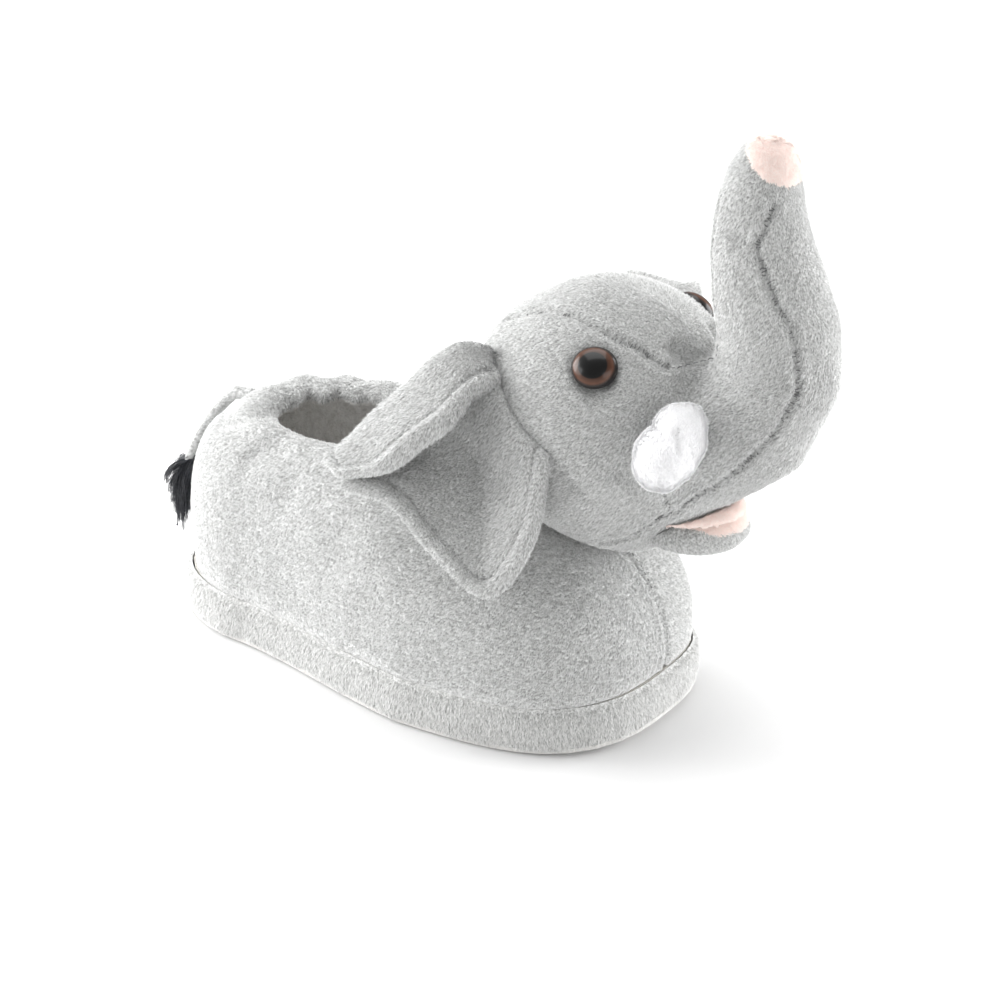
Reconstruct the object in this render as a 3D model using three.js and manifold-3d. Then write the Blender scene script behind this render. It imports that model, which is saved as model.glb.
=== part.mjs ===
// Animal slipper: a plush shoe with a stuffed elephant head over the toe. It fits either foot.
// Millimetres. +X points to the toe, +Y to the wearer's left, +Z up.
// The origin is under the middle of the sole.
import * as THREE from "three";
import { mergeVertices } from "three/addons/utils/BufferGeometryUtils.js";
import Module from "manifold-3d";

const wasm = await Module();
wasm.setup();

// Sole and last
const sole_length = 290;
const ball_width = 155;
const ball_forward = 34;
const heel_width = 104;
const heel_back = 78;
const toe_squareness = 2.85;
const heel_squareness = 1.95;
const side_roundness = 0.4;
const outsole_thickness = 3;
const outsole_inset = 1;
const midsole_thickness = 20.7;
const band_thickness = 4;
const band_bulge = 1.2;
const insole_thickness = 5;
const toe_spring = 4;
const flat_forefoot = 95;
const seam_gap = 0.3;

// Upper
const wall = 8;
const body_height = 86;
const seam_tuck = 3;
const tuck_reach = 0.14;
const collar_length = 114;
const collar_width = 84;
const collar_back = 41;
const collar_padding = 11;
const collar_pad_height = 14;
const collar_roll = 8;
const collar_rise = 4;
const padding_start = 0.8;
const heel_fullness = 3.3;
const toe_fullness = 2.25;
const gather_count = 7;
const gather_depth = 1.6;
const gather_start = 0.62;
const gather_span = 0.3;

// Head and trunk
const skull_forward = 108;
const skull_up = 157;
const skull_length = 128;
const skull_width = 124;
const skull_height = 132;
const muzzle_ahead = 38;
const muzzle_below = 10;
const muzzle_length = 66;
const muzzle_width = 90;
const muzzle_height = 72;
const trunk_reach = 86;
const trunk_height = 149.5;
const trunk_girth = 61;
const trunk_flatness = 0.97;

// Mouth and nostril pad
const lip_ahead = 6;
const lip_below = 37;
const lip_length = 60;
const lip_width = 54;
const lip_height = 27;
const lining_thickness = 18;
const lining_rise = 9;
const lining_setback = 3;
const pad_length = 42;
const pad_width = 42;
const pad_depth = 34;
const pad_drop = 12;
const pad_tilt = -0.35;

// Tusks
const tusk_length = 34;
const tusk_girth = 38;
const tusk_ahead = 17;
const tusk_out = 38;
const tusk_above = 27;
const tusk_lean = { forward: 0.32, out: 0.82, down: 0.36 };

// Ears
const ear_thickness = 6;
const ear_length = 66;
const ear_drop = 110;
const ear_flare = 38;
const ear_root_behind = 42;
const ear_root_out = 54;
const ear_root_above = 39;
const left_ear_swing = 34;
const left_ear_forward = 18;
const left_ear_up = 4;
const left_ear_in = 3;

// Eyes
const eye_diameter = 21.5;
const eye_bulge = 7.5;
const eye_ahead = 16;
const eye_out = 46.5;
const eye_above = 38;

// Tail and tassel
const tail_diameter = 7;
const tail_gap = 1.2;
const tassel_length = 40;
const tassel_girth = 19;
const tassel_locks = 9;
const tassel_core = { along: 0.7, across: 0.8, up: 0.72, below: 0.38 };
const lock_radius = 0.2;
const lock_start = 0.3;

// Facets
const columns = 56;
const ellipse_columns = 24;
const ellipse_rows = 14;
const trunk_columns = 20;
const tusk_columns = 16;
const eye_columns = 16;
const eye_rows = 8;
const lock_columns = 6;
const tassel_columns = 12;
const tassel_rows = 8;
const tail_steps = 12;
const tail_sides = 5;
const outline_steps = 720;
const ear_along = 11;
const ear_across = 11;

const full_turn = 2 * Math.PI;
const band_height = outsole_thickness + seam_gap + midsole_thickness;
const feather_height = band_height + seam_gap;
const heel_top = feather_height + body_height + collar_roll;
const muzzle_forward = skull_forward + muzzle_ahead;
const muzzle_up = skull_up - muzzle_below;
const lip_forward = muzzle_forward + lip_ahead;
const lip_up = muzzle_up - lip_below;

function clamp(value, low, high) {
  return Math.min(high, Math.max(low, value));
}

function smooth(share) {
  const s = clamp(share, 0, 1);
  return s * s * (3 - 2 * s);
}

function mix(from, to, share) {
  return from + (to - from) * share;
}

// Half the width of the sole: a blunt toe end, sides that draw in towards the heel, and a rounder heel end
function half_width(x) {
  const waist = clamp((x + heel_back) / (ball_forward + heel_back), 0, 1);
  const side = mix(heel_width, ball_width, mix(waist, smooth(waist), side_roundness)) / 2;
  const forward = x > ball_forward;
  const start = forward ? ball_forward : heel_back;
  const squareness = forward ? toe_squareness : heel_squareness;
  const past = clamp((Math.abs(x) - start) / (sole_length / 2 - start), 0, 1);
  return side * (1 - (forward || x < -heel_back ? past : 0) ** squareness) ** (1 / squareness);
}

function foot_place(turn) {
  const x = (sole_length / 2) * Math.cos(turn);
  return new THREE.Vector2(x, Math.sign(Math.sin(turn)) * half_width(x));
}

// The top line of the upper, an oval round the ankle
function collar_place(turn) {
  return new THREE.Vector2(
    (collar_length / 2) * Math.cos(turn) - collar_back,
    (collar_width / 2) * Math.sin(turn),
  );
}

// Evenly spaced points of a closed outline, each with its outward direction
function even_ring(place, count) {
  const fine = Array.from({ length: outline_steps + 1 }, (_, i) => place((i / outline_steps) * full_turn));
  const run = [0];
  for (let i = 1; i <= outline_steps; i += 1) {
    run.push(run[i - 1] + fine[i].distanceTo(fine[i - 1]));
  }
  const ring = [];
  let at = 0;
  for (let i = 0; i < count; i += 1) {
    const wanted = (run[outline_steps] * i) / count;
    while (run[at + 1] < wanted) at += 1;
    const share = (wanted - run[at]) / (run[at + 1] - run[at]);
    ring.push(fine[at].clone().lerp(fine[at + 1], share));
  }
  return ring.map((point, i) => {
    const before = ring[(i + count - 1) % count];
    const after = ring[(i + 1) % count];
    const outward = new THREE.Vector2(after.y - before.y, before.x - after.x).normalize();
    return { point, outward, share: i / count };
  });
}

const foot_ring = even_ring(foot_place, columns);
const collar_ring = even_ring(collar_place, columns);

function inset_place(station, inset) {
  return station.point.clone().addScaledVector(station.outward, -inset);
}

// The toe of the sole curls up past the flat of the forefoot
function lift(x) {
  const rise = Math.max(0, x - flat_forefoot) / (sole_length / 2 - flat_forefoot);
  return toe_spring * rise * rise;
}

// The cap of a ring as strips from one side to the other, so that a sole keeps its curl right across
function strips_across(around) {
  const faces = [];
  let low = 0;
  let high = around - 1;
  while (high - low > 1) {
    faces.push([low, low + 1, high]);
    low += 1;
    if (high - low > 1) {
      faces.push([low, high - 1, high]);
      high -= 1;
    }
  }
  return faces;
}

// A closed surface through rings of equal count, joined end to end or capped at both ends
function loft(rings, joined) {
  const around = rings[0].length;
  const points = rings.flat();
  const faces = [];
  const bands = joined ? rings.length : rings.length - 1;
  for (let row = 0; row < bands; row += 1) {
    const next = (row + 1) % rings.length;
    for (let column = 0; column < around; column += 1) {
      const beside = (column + 1) % around;
      const a = row * around + column;
      const b = row * around + beside;
      const c = next * around + beside;
      const d = next * around + column;
      faces.push([a, b, c], [a, c, d]);
    }
  }
  if (!joined) {
    const top = (rings.length - 1) * around;
    for (const [a, b, c] of strips_across(around)) {
      faces.push([c, b, a], [top + a, top + b, top + c]);
    }
  }
  return solid_of(points.flatMap((point) => point.toArray()), faces.flat());
}

function solid_of(coordinates, faces) {
  const numbers = new Float32Array(coordinates);
  const corners = new Uint32Array(faces);
  return new wasm.Manifold(new wasm.Mesh({ numProp: 3, vertProperties: numbers, triVerts: corners }));
}

function solid_from(geometry) {
  const plain = geometry.clone();
  plain.deleteAttribute("normal");
  plain.deleteAttribute("uv");
  const merged = mergeVertices(plain, 1e-4);
  return solid_of(merged.attributes.position.array, merged.index.array);
}

function ellipsoid(centre, size, growth = 0, tilt = new THREE.Euler()) {
  const geometry = new THREE.SphereGeometry(1, ellipse_columns, ellipse_rows);
  geometry.rotateX(Math.PI / 2);
  geometry.scale(size.x / 2 + growth, size.y / 2 + growth, size.z / 2 + growth);
  geometry.applyQuaternion(new THREE.Quaternion().setFromEuler(tilt));
  geometry.translate(centre.x, centre.y, centre.z);
  return solid_from(geometry);
}

// A flat block with the outline of the sole, its edge given as steps of height and inset
function sole_block(steps) {
  return loft(
    steps.map((step) =>
      foot_ring.map((station) => {
        const place = inset_place(station, step.inset);
        return new THREE.Vector3(place.x, place.y, step.height + lift(place.x));
      }),
    ),
    false,
  );
}

function outsole_solid() {
  return sole_block([
    { height: 0, inset: outsole_inset + outsole_thickness / 3 },
    { height: outsole_thickness / 3, inset: outsole_inset },
    { height: outsole_thickness, inset: outsole_inset },
  ]);
}

function midsole_solid() {
  const inset = band_thickness + seam_gap;
  return sole_block([
    { height: outsole_thickness + seam_gap, inset },
    { height: band_height, inset },
  ]);
}

function insole_solid() {
  const inset = seam_tuck + wall + seam_gap;
  const top = feather_height + insole_thickness;
  return sole_block([
    { height: feather_height, inset },
    { height: top - insole_thickness / 3, inset },
    { height: top, inset: inset + insole_thickness / 3 },
  ]);
}

// The plush strip round the foam, drawn in at its two seams
const band_steps = [
  { climb: 0, swell: -1.2 },
  { climb: 0.18, swell: 0.5 },
  { climb: 0.5, swell: 1 },
  { climb: 0.82, swell: 0.6 },
  { climb: 1, swell: -1.4 },
];

function sole_band_solid() {
  const foot = outsole_thickness + seam_gap;
  const steps = band_steps.map(({ climb, swell }) => ({
    height: mix(foot, band_height, climb),
    inset: -swell * band_bulge,
  }));
  steps.push({ height: band_height, inset: band_thickness }, { height: foot, inset: band_thickness });
  const rings = steps.map((step) =>
    foot_ring.map((station) => {
      const place = inset_place(station, step.inset);
      return new THREE.Vector3(place.x, place.y, step.height + lift(place.x));
    }),
  );
  return loft(rings, true);
}

// How far back a column of the upper stands, from 0 at the toe to 1 at the heel
function backness(station) {
  return 0.5 - station.point.x / sole_length;
}

// Elastic gathers round the back of the collar, fading out towards the toe and down the wall
function gather(station, climb) {
  const behind = smooth((gather_span - Math.abs(station.share - 0.5)) / (gather_span * 0.4));
  const near_collar = smooth((climb - gather_start) / gather_span);
  return gather_depth * behind * near_collar * Math.cos(gather_count * 2 * full_turn * (station.share - 0.5));
}

// A point of the upper: climb runs from the feather line to the collar, depth from the outer face inwards
function upper_point(column, climb, depth) {
  const foot = foot_ring[column];
  const collar = collar_ring[column];
  const fullness = mix(toe_fullness, heel_fullness, smooth(backness(foot)));
  const angle = (climb * Math.PI) / 2;
  const inward = 1 - Math.cos(angle) ** (2 / fullness);
  const upward = Math.sin(angle) ** (2 / fullness);
  const tuck = seam_tuck * (1 - smooth(climb / tuck_reach));
  const low = inset_place(foot, tuck + depth);
  const high = inset_place(collar, 0);
  const ripple = gather(foot, climb);
  const place = low.lerp(high, inward).addScaledVector(collar.outward, ripple);
  const padding = smooth((climb - padding_start) / (1 - padding_start));
  const roll = collar_roll * padding;
  const throat = collar_rise * (1 - backness(foot));
  const bottom = feather_height + lift(foot.point.x);
  const thickness = depth > 0 ? mix(depth, collar_pad_height, padding) : depth;
  const top = feather_height + body_height + throat - thickness;
  return new THREE.Vector3(place.x, place.y, mix(bottom, top, upward) + roll + ripple / 2);
}

function upper_ring(climb, depth) {
  return foot_ring.map((_, column) => upper_point(column, climb, depth));
}

// The rounded lip between the outer and the inner face at the collar
function rim_ring(angle) {
  return upper_ring(1, 0).map((point, column) => {
    const inward = collar_ring[column].outward.clone().multiplyScalar(-collar_padding * Math.sin(angle));
    const down = (collar_pad_height / 2) * (Math.cos(angle) - 1);
    return new THREE.Vector3(point.x + inward.x, point.y + inward.y, point.z + down);
  });
}

const wall_climbs = [0, 0.05, 0.13, 0.24, 0.36, 0.48, 0.59, 0.69, 0.78, 0.86, 0.93];
const rim_angles = [0, Math.PI / 4, Math.PI / 2, (3 * Math.PI) / 4];

function upper_solid() {
  const outer = wall_climbs.map((climb) => upper_ring(climb, 0));
  const rim = rim_angles.map(rim_ring);
  const inner = [...wall_climbs, 1].reverse().map((climb) => upper_ring(climb, wall));
  return loft([...outer, ...rim, ...inner], true);
}

// The space that the closed upper takes up, used to seat what lies on it
function upper_form(growth) {
  const rings = [...wall_climbs, 1].map((climb) => {
    const down = climb === 0 ? -wall : 0;
    return upper_ring(climb, -growth).map((point) => point.add(new THREE.Vector3(0, 0, down)));
  });
  return loft(rings, false);
}

// The trunk from its root in the head to the raised tip, in shares of its reach, height and girth
const trunk_sections = [
  { forward: 0.32, rise: -0.06, girth: 1.2 },
  { forward: 0.6, rise: 0, girth: 1.18 },
  { forward: 0.86, rise: 0.09, girth: 1.1 },
  { forward: 0.99, rise: 0.25, girth: 1.0 },
  { forward: 0.99, rise: 0.4, girth: 0.95 },
  { forward: 0.91, rise: 0.52, girth: 0.9 },
  { forward: 0.86, rise: 0.64, girth: 0.81 },
  { forward: 0.85, rise: 0.78, girth: 0.69 },
  { forward: 0.86, rise: 0.88, girth: 0.6 },
  { forward: 0.87, rise: 0.955, girth: 0.42 },
  { forward: 0.87, rise: 0.985, girth: 0.14 },
];

function trunk_point(section) {
  return new THREE.Vector3(
    skull_forward + section.forward * trunk_reach,
    0,
    skull_up + section.rise * trunk_height,
  );
}

function trunk_form(growth) {
  const line = new THREE.CatmullRomCurve3(trunk_sections.map(trunk_point), false, "centripetal");
  const last = trunk_sections.length - 1;
  const across = new THREE.Vector3(0, 1, 0);
  const rings = trunk_sections.map((section, row) => {
    const centre = line.getPoint(row / last);
    const along = line.getTangent(row / last);
    const side = new THREE.Vector3().crossVectors(across, along);
    const radius = (section.girth * trunk_girth) / 2 + growth;
    if (row === last) centre.addScaledVector(along, growth);
    return Array.from({ length: trunk_columns }, (_, i) => {
      const turn = (i / trunk_columns) * full_turn;
      return centre
        .clone()
        .addScaledVector(side, radius * Math.cos(turn))
        .addScaledVector(across, radius * trunk_flatness * Math.sin(turn));
    });
  });
  return loft(rings, false);
}

function head_form(growth) {
  const skull = ellipsoid(
    new THREE.Vector3(skull_forward, 0, skull_up),
    new THREE.Vector3(skull_length, skull_width, skull_height),
    growth,
  );
  const muzzle = ellipsoid(
    new THREE.Vector3(muzzle_forward, 0, muzzle_up),
    new THREE.Vector3(muzzle_length, muzzle_width, muzzle_height),
    growth,
  );
  return skull.add(muzzle).add(trunk_form(growth));
}

// The pink pad lies on the front of the trunk's tip, flush with it
function pad_form(growth) {
  const tip = trunk_point(trunk_sections.at(-1));
  const front = new THREE.Vector3(pad_depth / 3, 0, -pad_drop);
  const size = new THREE.Vector3(pad_depth, pad_width, pad_length);
  return ellipsoid(tip.add(front), size, growth, new THREE.Euler(0, pad_tilt, 0));
}

function eye_place(side) {
  return new THREE.Vector3(skull_forward + eye_ahead, side * eye_out, skull_up + eye_above);
}

// A glass-smooth button, wide and shallow, facing straight out of the head
function eye_form(side, growth) {
  const geometry = new THREE.SphereGeometry(1, eye_columns, eye_rows);
  geometry.scale(eye_diameter / 2 + growth, eye_diameter / 2 + growth, eye_bulge + growth);
  const outward = eye_place(side).sub(new THREE.Vector3(skull_forward, 0, skull_up));
  outward.divide(new THREE.Vector3(skull_length ** 2, skull_width ** 2, skull_height ** 2)).normalize();
  const turn = new THREE.Quaternion().setFromUnitVectors(new THREE.Vector3(0, 0, 1), outward);
  const place = eye_place(side);
  geometry.applyQuaternion(turn).translate(place.x, place.y, place.z);
  return solid_from(geometry);
}

// A short stuffed cone with a dimple between its root and its tip
const tusk_sections = [
  { along: 0, girth: 0.86 },
  { along: 0.25, girth: 1 },
  { along: 0.5, girth: 0.93 },
  { along: 0.75, girth: 0.84 },
  { along: 0.92, girth: 0.56 },
  { along: 1, girth: 0.18 },
];

function tusk_form(side, growth) {
  const out = new THREE.Vector3(tusk_lean.forward, side * tusk_lean.out, -tusk_lean.down).normalize();
  const start = new THREE.Vector3(muzzle_forward + tusk_ahead, side * tusk_out, muzzle_up + tusk_above);
  const first = new THREE.Vector3(0, 0, 1).cross(out).normalize();
  const second = new THREE.Vector3().crossVectors(out, first);
  const rings = tusk_sections.map(({ along, girth }) =>
    Array.from({ length: tusk_columns }, (_, i) => {
      const turn = (i / tusk_columns) * full_turn;
      const radius = (girth * tusk_girth) / 2 + growth;
      return start
        .clone()
        .addScaledVector(out, along * tusk_length + (along > 0.5 ? growth : -growth))
        .addScaledVector(first, radius * Math.cos(turn))
        .addScaledVector(second, radius * Math.sin(turn));
    }),
  );
  return loft(rings, false);
}

// The ear hangs from a fold that runs back from the head, its upper margin turned over outwards.
// Each place is a share of the ear's length backwards, of its drop and of its flare.
const ear_rows = [
  { hem: [-0.68, 0.38, 0.26], mid: [-0.53, 0.16, 0.02], fold: [0, 0, 0], flap: [-0.25, 0.13, 0.21] },
  { hem: [-0.67, 0.73, 0.58], mid: [-0.35, 0.4, 0.14], fold: [0.22, 0.08, 0.08], flap: [-0.13, 0.17, 0.53] },
  { hem: [-0.41, 0.99, 0.79], mid: [-0.09, 0.5, 0.24], fold: [0.46, 0.21, 0.26], flap: [-0.04, 0.25, 0.74] },
  { hem: [0.05, 0.84, 0.84], mid: [0.17, 0.5, 0.4], fold: [0.65, 0.34, 0.47], flap: [0.14, 0.35, 0.9] },
  { hem: [0.41, 0.67, 0.87], mid: [0.45, 0.56, 0.6], fold: [0.82, 0.47, 0.63], flap: [0.38, 0.49, 0.95] },
  { hem: [0.83, 0.66, 0.84], mid: [0.87, 0.62, 0.78], fold: [1, 0.58, 0.74], flap: [0.8, 0.6, 0.88] },
];

function ear_place([back, down, out]) {
  return new THREE.Vector3(
    skull_forward - ear_root_behind - back * ear_length,
    ear_root_out + out * ear_flare,
    skull_up + ear_root_above - down * ear_drop,
  );
}

// The ear swings about the line along which it is sewn to the head, and that line may lie further forward
function posed(point, pose) {
  const start = ear_place(ear_rows[0].fold);
  const hinge = ear_place(ear_rows[0].hem).sub(start).normalize();
  const turn = THREE.MathUtils.degToRad(pose.swing);
  return point.sub(start).applyAxisAngle(hinge, turn).add(start).add(pose.shift);
}

function ear_solid(side, pose) {
  const strips = ["hem", "mid", "fold", "flap"].map((name) => {
    const places = ear_rows.map((row) => posed(ear_place(row[name]), pose));
    return new THREE.CatmullRomCurve3(places, false, "centripetal");
  });
  const sheet = Array.from({ length: ear_along }, (_, row) => {
    const knots = strips.map((strip) => strip.getPoint(row / (ear_along - 1)));
    const path = new THREE.CatmullRomCurve3(knots, false, "centripetal");
    return Array.from({ length: ear_across }, (_, i) => path.getPoint(i / (ear_across - 1)));
  });
  const at = (row, i) => sheet[clamp(row, 0, ear_along - 1)][clamp(i, 0, ear_across - 1)];
  const rings = sheet.map((strip, row) => {
    const normals = strip.map((_, i) => {
      const along = at(row + 1, i).clone().sub(at(row - 1, i));
      const across = at(row, i + 1).clone().sub(at(row, i - 1));
      return along.cross(across).normalize();
    });
    const front = strip.map((point, i) => point.clone().addScaledVector(normals[i], ear_thickness / 2));
    const back = strip.map((point, i) => point.clone().addScaledVector(normals[i], -ear_thickness / 2));
    return [...front, ...back.reverse()];
  });
  const turned = side < 0 ? rings.map((ring) => ring.map((p) => p.setY(-p.y))) : rings;
  const made = loft(turned, false);
  return made.volume() < 0 ? loft(turned.reverse(), false) : made;
}

// The tail follows the heel down from the collar, a little to the left of the middle,
// in shares of half the sole's length, of the tail's diameter and of the height of the heel's top
const tail_route = [
  { back: 0.76, left: 1, up: 1 },
  { back: 0.835, left: 1.3, up: 0.95 },
  { back: 0.925, left: 1.4, up: 0.855 },
  { back: 1.007, left: 1, up: 0.702 },
  { back: 1.055, left: 0.43, up: 0.558 },
];

function tail_line() {
  const points = tail_route.map(
    ({ back, left, up }) =>
      new THREE.Vector3((-back * sole_length) / 2 - tail_gap, left * tail_diameter, up * heel_top),
  );
  return new THREE.CatmullRomCurve3(points, false, "centripetal");
}

function tail_solid() {
  const radius = tail_diameter / 2;
  const section = new THREE.Shape();
  section.absarc(0, 0, radius, 0, full_turn, false);
  const options = { extrudePath: tail_line(), steps: tail_steps, curveSegments: tail_sides };
  return solid_from(new THREE.ExtrudeGeometry(section, options));
}

// One lock of hair, thick at its root and pointed at its end
const lock_sections = [
  { along: 0, girth: 0.9 },
  { along: 1 / 3, girth: 1 },
  { along: 2 / 3, girth: 0.75 },
  { along: 1, girth: 0.15 },
];

function lock_form(root, turn, spread, drop) {
  const out = new THREE.Vector3(Math.cos(turn), Math.sin(turn), 0);
  const end = root.clone().addScaledVector(out, spread).add(new THREE.Vector3(0, 0, -drop));
  const bend = root.clone().addScaledVector(out, spread * 0.9).add(new THREE.Vector3(0, 0, -drop * 0.45));
  const line = new THREE.QuadraticBezierCurve3(root, bend, end);
  const rings = lock_sections.map(({ along, girth }) => {
    const centre = line.getPoint(along);
    const ahead = line.getTangent(along);
    const first = new THREE.Vector3().crossVectors(ahead, out).normalize();
    const second = new THREE.Vector3().crossVectors(ahead, first);
    const radius = girth * tassel_girth * lock_radius;
    return Array.from({ length: lock_columns }, (_, i) => {
      const angle = (i / lock_columns) * full_turn;
      return centre
        .clone()
        .addScaledVector(first, radius * Math.cos(angle))
        .addScaledVector(second, radius * Math.sin(angle));
    });
  });
  return loft(rings, false);
}

// A tuft with curved locks round it, all joined
function tassel_solid() {
  const end = tail_line().getPoint(1);
  const root = end.clone().setZ(end.z - tassel_girth * lock_start);
  const { along, across, up, below } = tassel_core;
  const geometry = new THREE.SphereGeometry(0.5, tassel_columns, tassel_rows).rotateX(Math.PI / 2);
  geometry.scale(tassel_girth * along, tassel_girth * across, tassel_length * up);
  geometry.translate(end.x, end.y, end.z - tassel_length * below);
  let tuft = solid_from(geometry);
  for (let i = 0; i < tassel_locks; i += 1) {
    const turn = (i / tassel_locks) * full_turn;
    const spread = tassel_girth * (0.32 + 0.12 * Math.cos(3 * turn));
    const drop = tassel_length * (0.68 + 0.14 * Math.sin(2 * turn));
    tuft = tuft.add(lock_form(root, turn, spread, drop));
  }
  return tuft;
}

// The main piece of a cut, without the loose offcuts
function largest(solid) {
  return solid.decompose().reduce((a, b) => (b.volume() > a.volume() ? b : a));
}

const grown_upper = upper_form(seam_gap);
const plain_head = head_form(0);
const grown_head = head_form(seam_gap);
const lip_centre = new THREE.Vector3(lip_forward, 0, lip_up);
const lip_size = new THREE.Vector3(lip_length, lip_width, lip_height);
const lining_centre = new THREE.Vector3(lip_forward - lining_setback, 0, lip_up + lining_rise);
const lining_size = new THREE.Vector3(lip_length, lip_width, lining_thickness);
const left_ear_shift = new THREE.Vector3(left_ear_forward, -left_ear_in, left_ear_up);
const sides = [
  { name: "right", side: -1, ear_pose: { swing: 0, shift: new THREE.Vector3() } },
  { name: "left", side: 1, ear_pose: { swing: left_ear_swing, shift: left_ear_shift } },
];

let head = plain_head.subtract(grown_upper).subtract(pad_form(seam_gap));
for (const { side } of sides) {
  head = head.subtract(eye_form(side, seam_gap)).subtract(tusk_form(side, seam_gap));
}
const lower_lip = ellipsoid(lip_centre, lip_size).subtract(grown_head).subtract(grown_upper);
const lining = ellipsoid(lining_centre, lining_size)
  .subtract(grown_head)
  .subtract(ellipsoid(lip_centre, lip_size, seam_gap))
  .subtract(grown_upper);

const plush = { color: 0xb4b4b2, roughness: 0.95 };
const pink_plush = { color: 0xf6ddd6, roughness: 0.95 };
const white_plush = { color: 0xf1f1f3, roughness: 0.95 };
const lining_fabric = { color: 0x9b9890, roughness: 0.95 };
const grip_sheet = { color: 0xdedcd8, roughness: 0.8 };
const foam = { color: 0xcfcbc2, roughness: 0.9 };
const black_hair = { color: 0x14161d, roughness: 0.6 };
const eye_plastic = { color: 0x24120a, roughness: 0.08 };

const slipper = new THREE.Group();
slipper.name = "animal_slipper";

function add_piece(name, solid, finish) {
  const made = largest(solid).getMesh();
  const geometry = new THREE.BufferGeometry();
  geometry.setAttribute("position", new THREE.BufferAttribute(made.vertProperties, made.numProp));
  geometry.setIndex(new THREE.BufferAttribute(made.triVerts, 1));
  geometry.computeVertexNormals();
  const piece = new THREE.Mesh(geometry, new THREE.MeshStandardMaterial({ metalness: 0, ...finish }));
  piece.name = name;
  slipper.add(piece);
}

add_piece("outsole", outsole_solid(), grip_sheet);
add_piece("midsole", midsole_solid(), foam);
add_piece("sole_band", sole_band_solid(), plush);
add_piece("insole", insole_solid(), lining_fabric);
add_piece("upper", upper_solid(), plush);
add_piece("head", head, plush);
add_piece("lower_lip", lower_lip, plush);
add_piece("mouth_lining", lining, pink_plush);
add_piece("nostril_pad", pad_form(0).intersect(plain_head), pink_plush);
for (const { name, side, ear_pose } of sides) {
  add_piece(`tusk_${name}`, tusk_form(side, 0), white_plush);
  add_piece(`eye_${name}`, eye_form(side, 0), eye_plastic);
  const ear = ear_solid(side, ear_pose).subtract(grown_head).subtract(grown_upper);
  add_piece(`ear_${name}`, ear, plush);
}
add_piece("tail", tail_solid().subtract(upper_form(seam_gap)), plush);
add_piece("tassel", tassel_solid().subtract(upper_form(seam_gap)).subtract(tail_solid()), black_hair);

export default slipper;
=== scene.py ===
import math

import bmesh
import bpy
import numpy as np
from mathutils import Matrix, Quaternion, Vector
from mathutils.bvhtree import BVHTree


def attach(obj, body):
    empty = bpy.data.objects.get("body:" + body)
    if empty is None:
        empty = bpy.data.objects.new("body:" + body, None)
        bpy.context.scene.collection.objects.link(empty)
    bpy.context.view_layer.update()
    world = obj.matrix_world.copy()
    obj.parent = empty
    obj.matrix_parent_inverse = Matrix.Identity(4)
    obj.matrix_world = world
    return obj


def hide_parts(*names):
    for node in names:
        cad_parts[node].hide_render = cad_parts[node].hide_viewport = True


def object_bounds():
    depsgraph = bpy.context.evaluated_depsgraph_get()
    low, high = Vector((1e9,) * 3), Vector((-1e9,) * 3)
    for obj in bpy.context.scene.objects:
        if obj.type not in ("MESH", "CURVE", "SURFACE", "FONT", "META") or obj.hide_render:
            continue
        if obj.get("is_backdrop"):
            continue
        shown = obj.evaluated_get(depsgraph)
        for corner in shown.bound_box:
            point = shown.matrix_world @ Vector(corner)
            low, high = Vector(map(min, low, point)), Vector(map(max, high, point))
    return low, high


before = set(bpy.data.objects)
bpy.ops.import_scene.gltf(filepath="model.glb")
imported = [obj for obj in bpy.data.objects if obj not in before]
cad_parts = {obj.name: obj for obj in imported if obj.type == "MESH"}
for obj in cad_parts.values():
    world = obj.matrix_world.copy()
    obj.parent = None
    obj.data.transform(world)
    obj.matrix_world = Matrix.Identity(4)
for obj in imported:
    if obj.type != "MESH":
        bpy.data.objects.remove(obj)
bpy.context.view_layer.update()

# The picture is taken from the shoe's right side, turned 34 degrees towards the toe and 25 degrees above the
# floor, with a long lens.
scene = bpy.context.scene
collection = scene.collection
view_turn = math.radians(34)
view_rise = math.radians(25)
view_distance = 1.4
view_height = 0.06
pixels_deep = 2754
look_right, look_up = 75, 40.5
view_back = Vector(
    (
        math.sin(view_turn) * math.cos(view_rise),
        -math.cos(view_turn) * math.cos(view_rise),
        math.sin(view_rise),
    )
)
camera = bpy.data.objects.new("camera", bpy.data.cameras.new("camera"))
collection.objects.link(camera)
camera.data.sensor_width = 36
camera.data.lens = 36 * pixels_deep / 1000
camera.data.clip_start = 0.05
camera.data.clip_end = 60
camera.location = view_back * view_distance + Vector((0, 0, view_height))
camera.rotation_mode = "QUATERNION"
level = (-view_back).to_track_quat("-Z", "Y")
aim = Vector((look_right / pixels_deep, look_up / pixels_deep, -1))
camera.rotation_quaternion = level @ Vector((0, 0, -1)).rotation_difference(aim)
scene.camera = camera
scene.view_settings.view_transform = "Standard"
scene.view_settings.look = "None"


# The shoe stands on a white studio floor. Big soft lights hang over it and to both sides, and a weak low one
# fills the chin and the underside of the trunk.
def wired(name, values):
    """A new material, its tree and its surface, which takes the values."""
    material = bpy.data.materials.new(name)
    material.use_nodes = True
    surface = material.node_tree.nodes["Principled BSDF"]
    for key, value in values.items():
        surface.inputs[key].default_value = value
    return material, material.node_tree, surface


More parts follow.
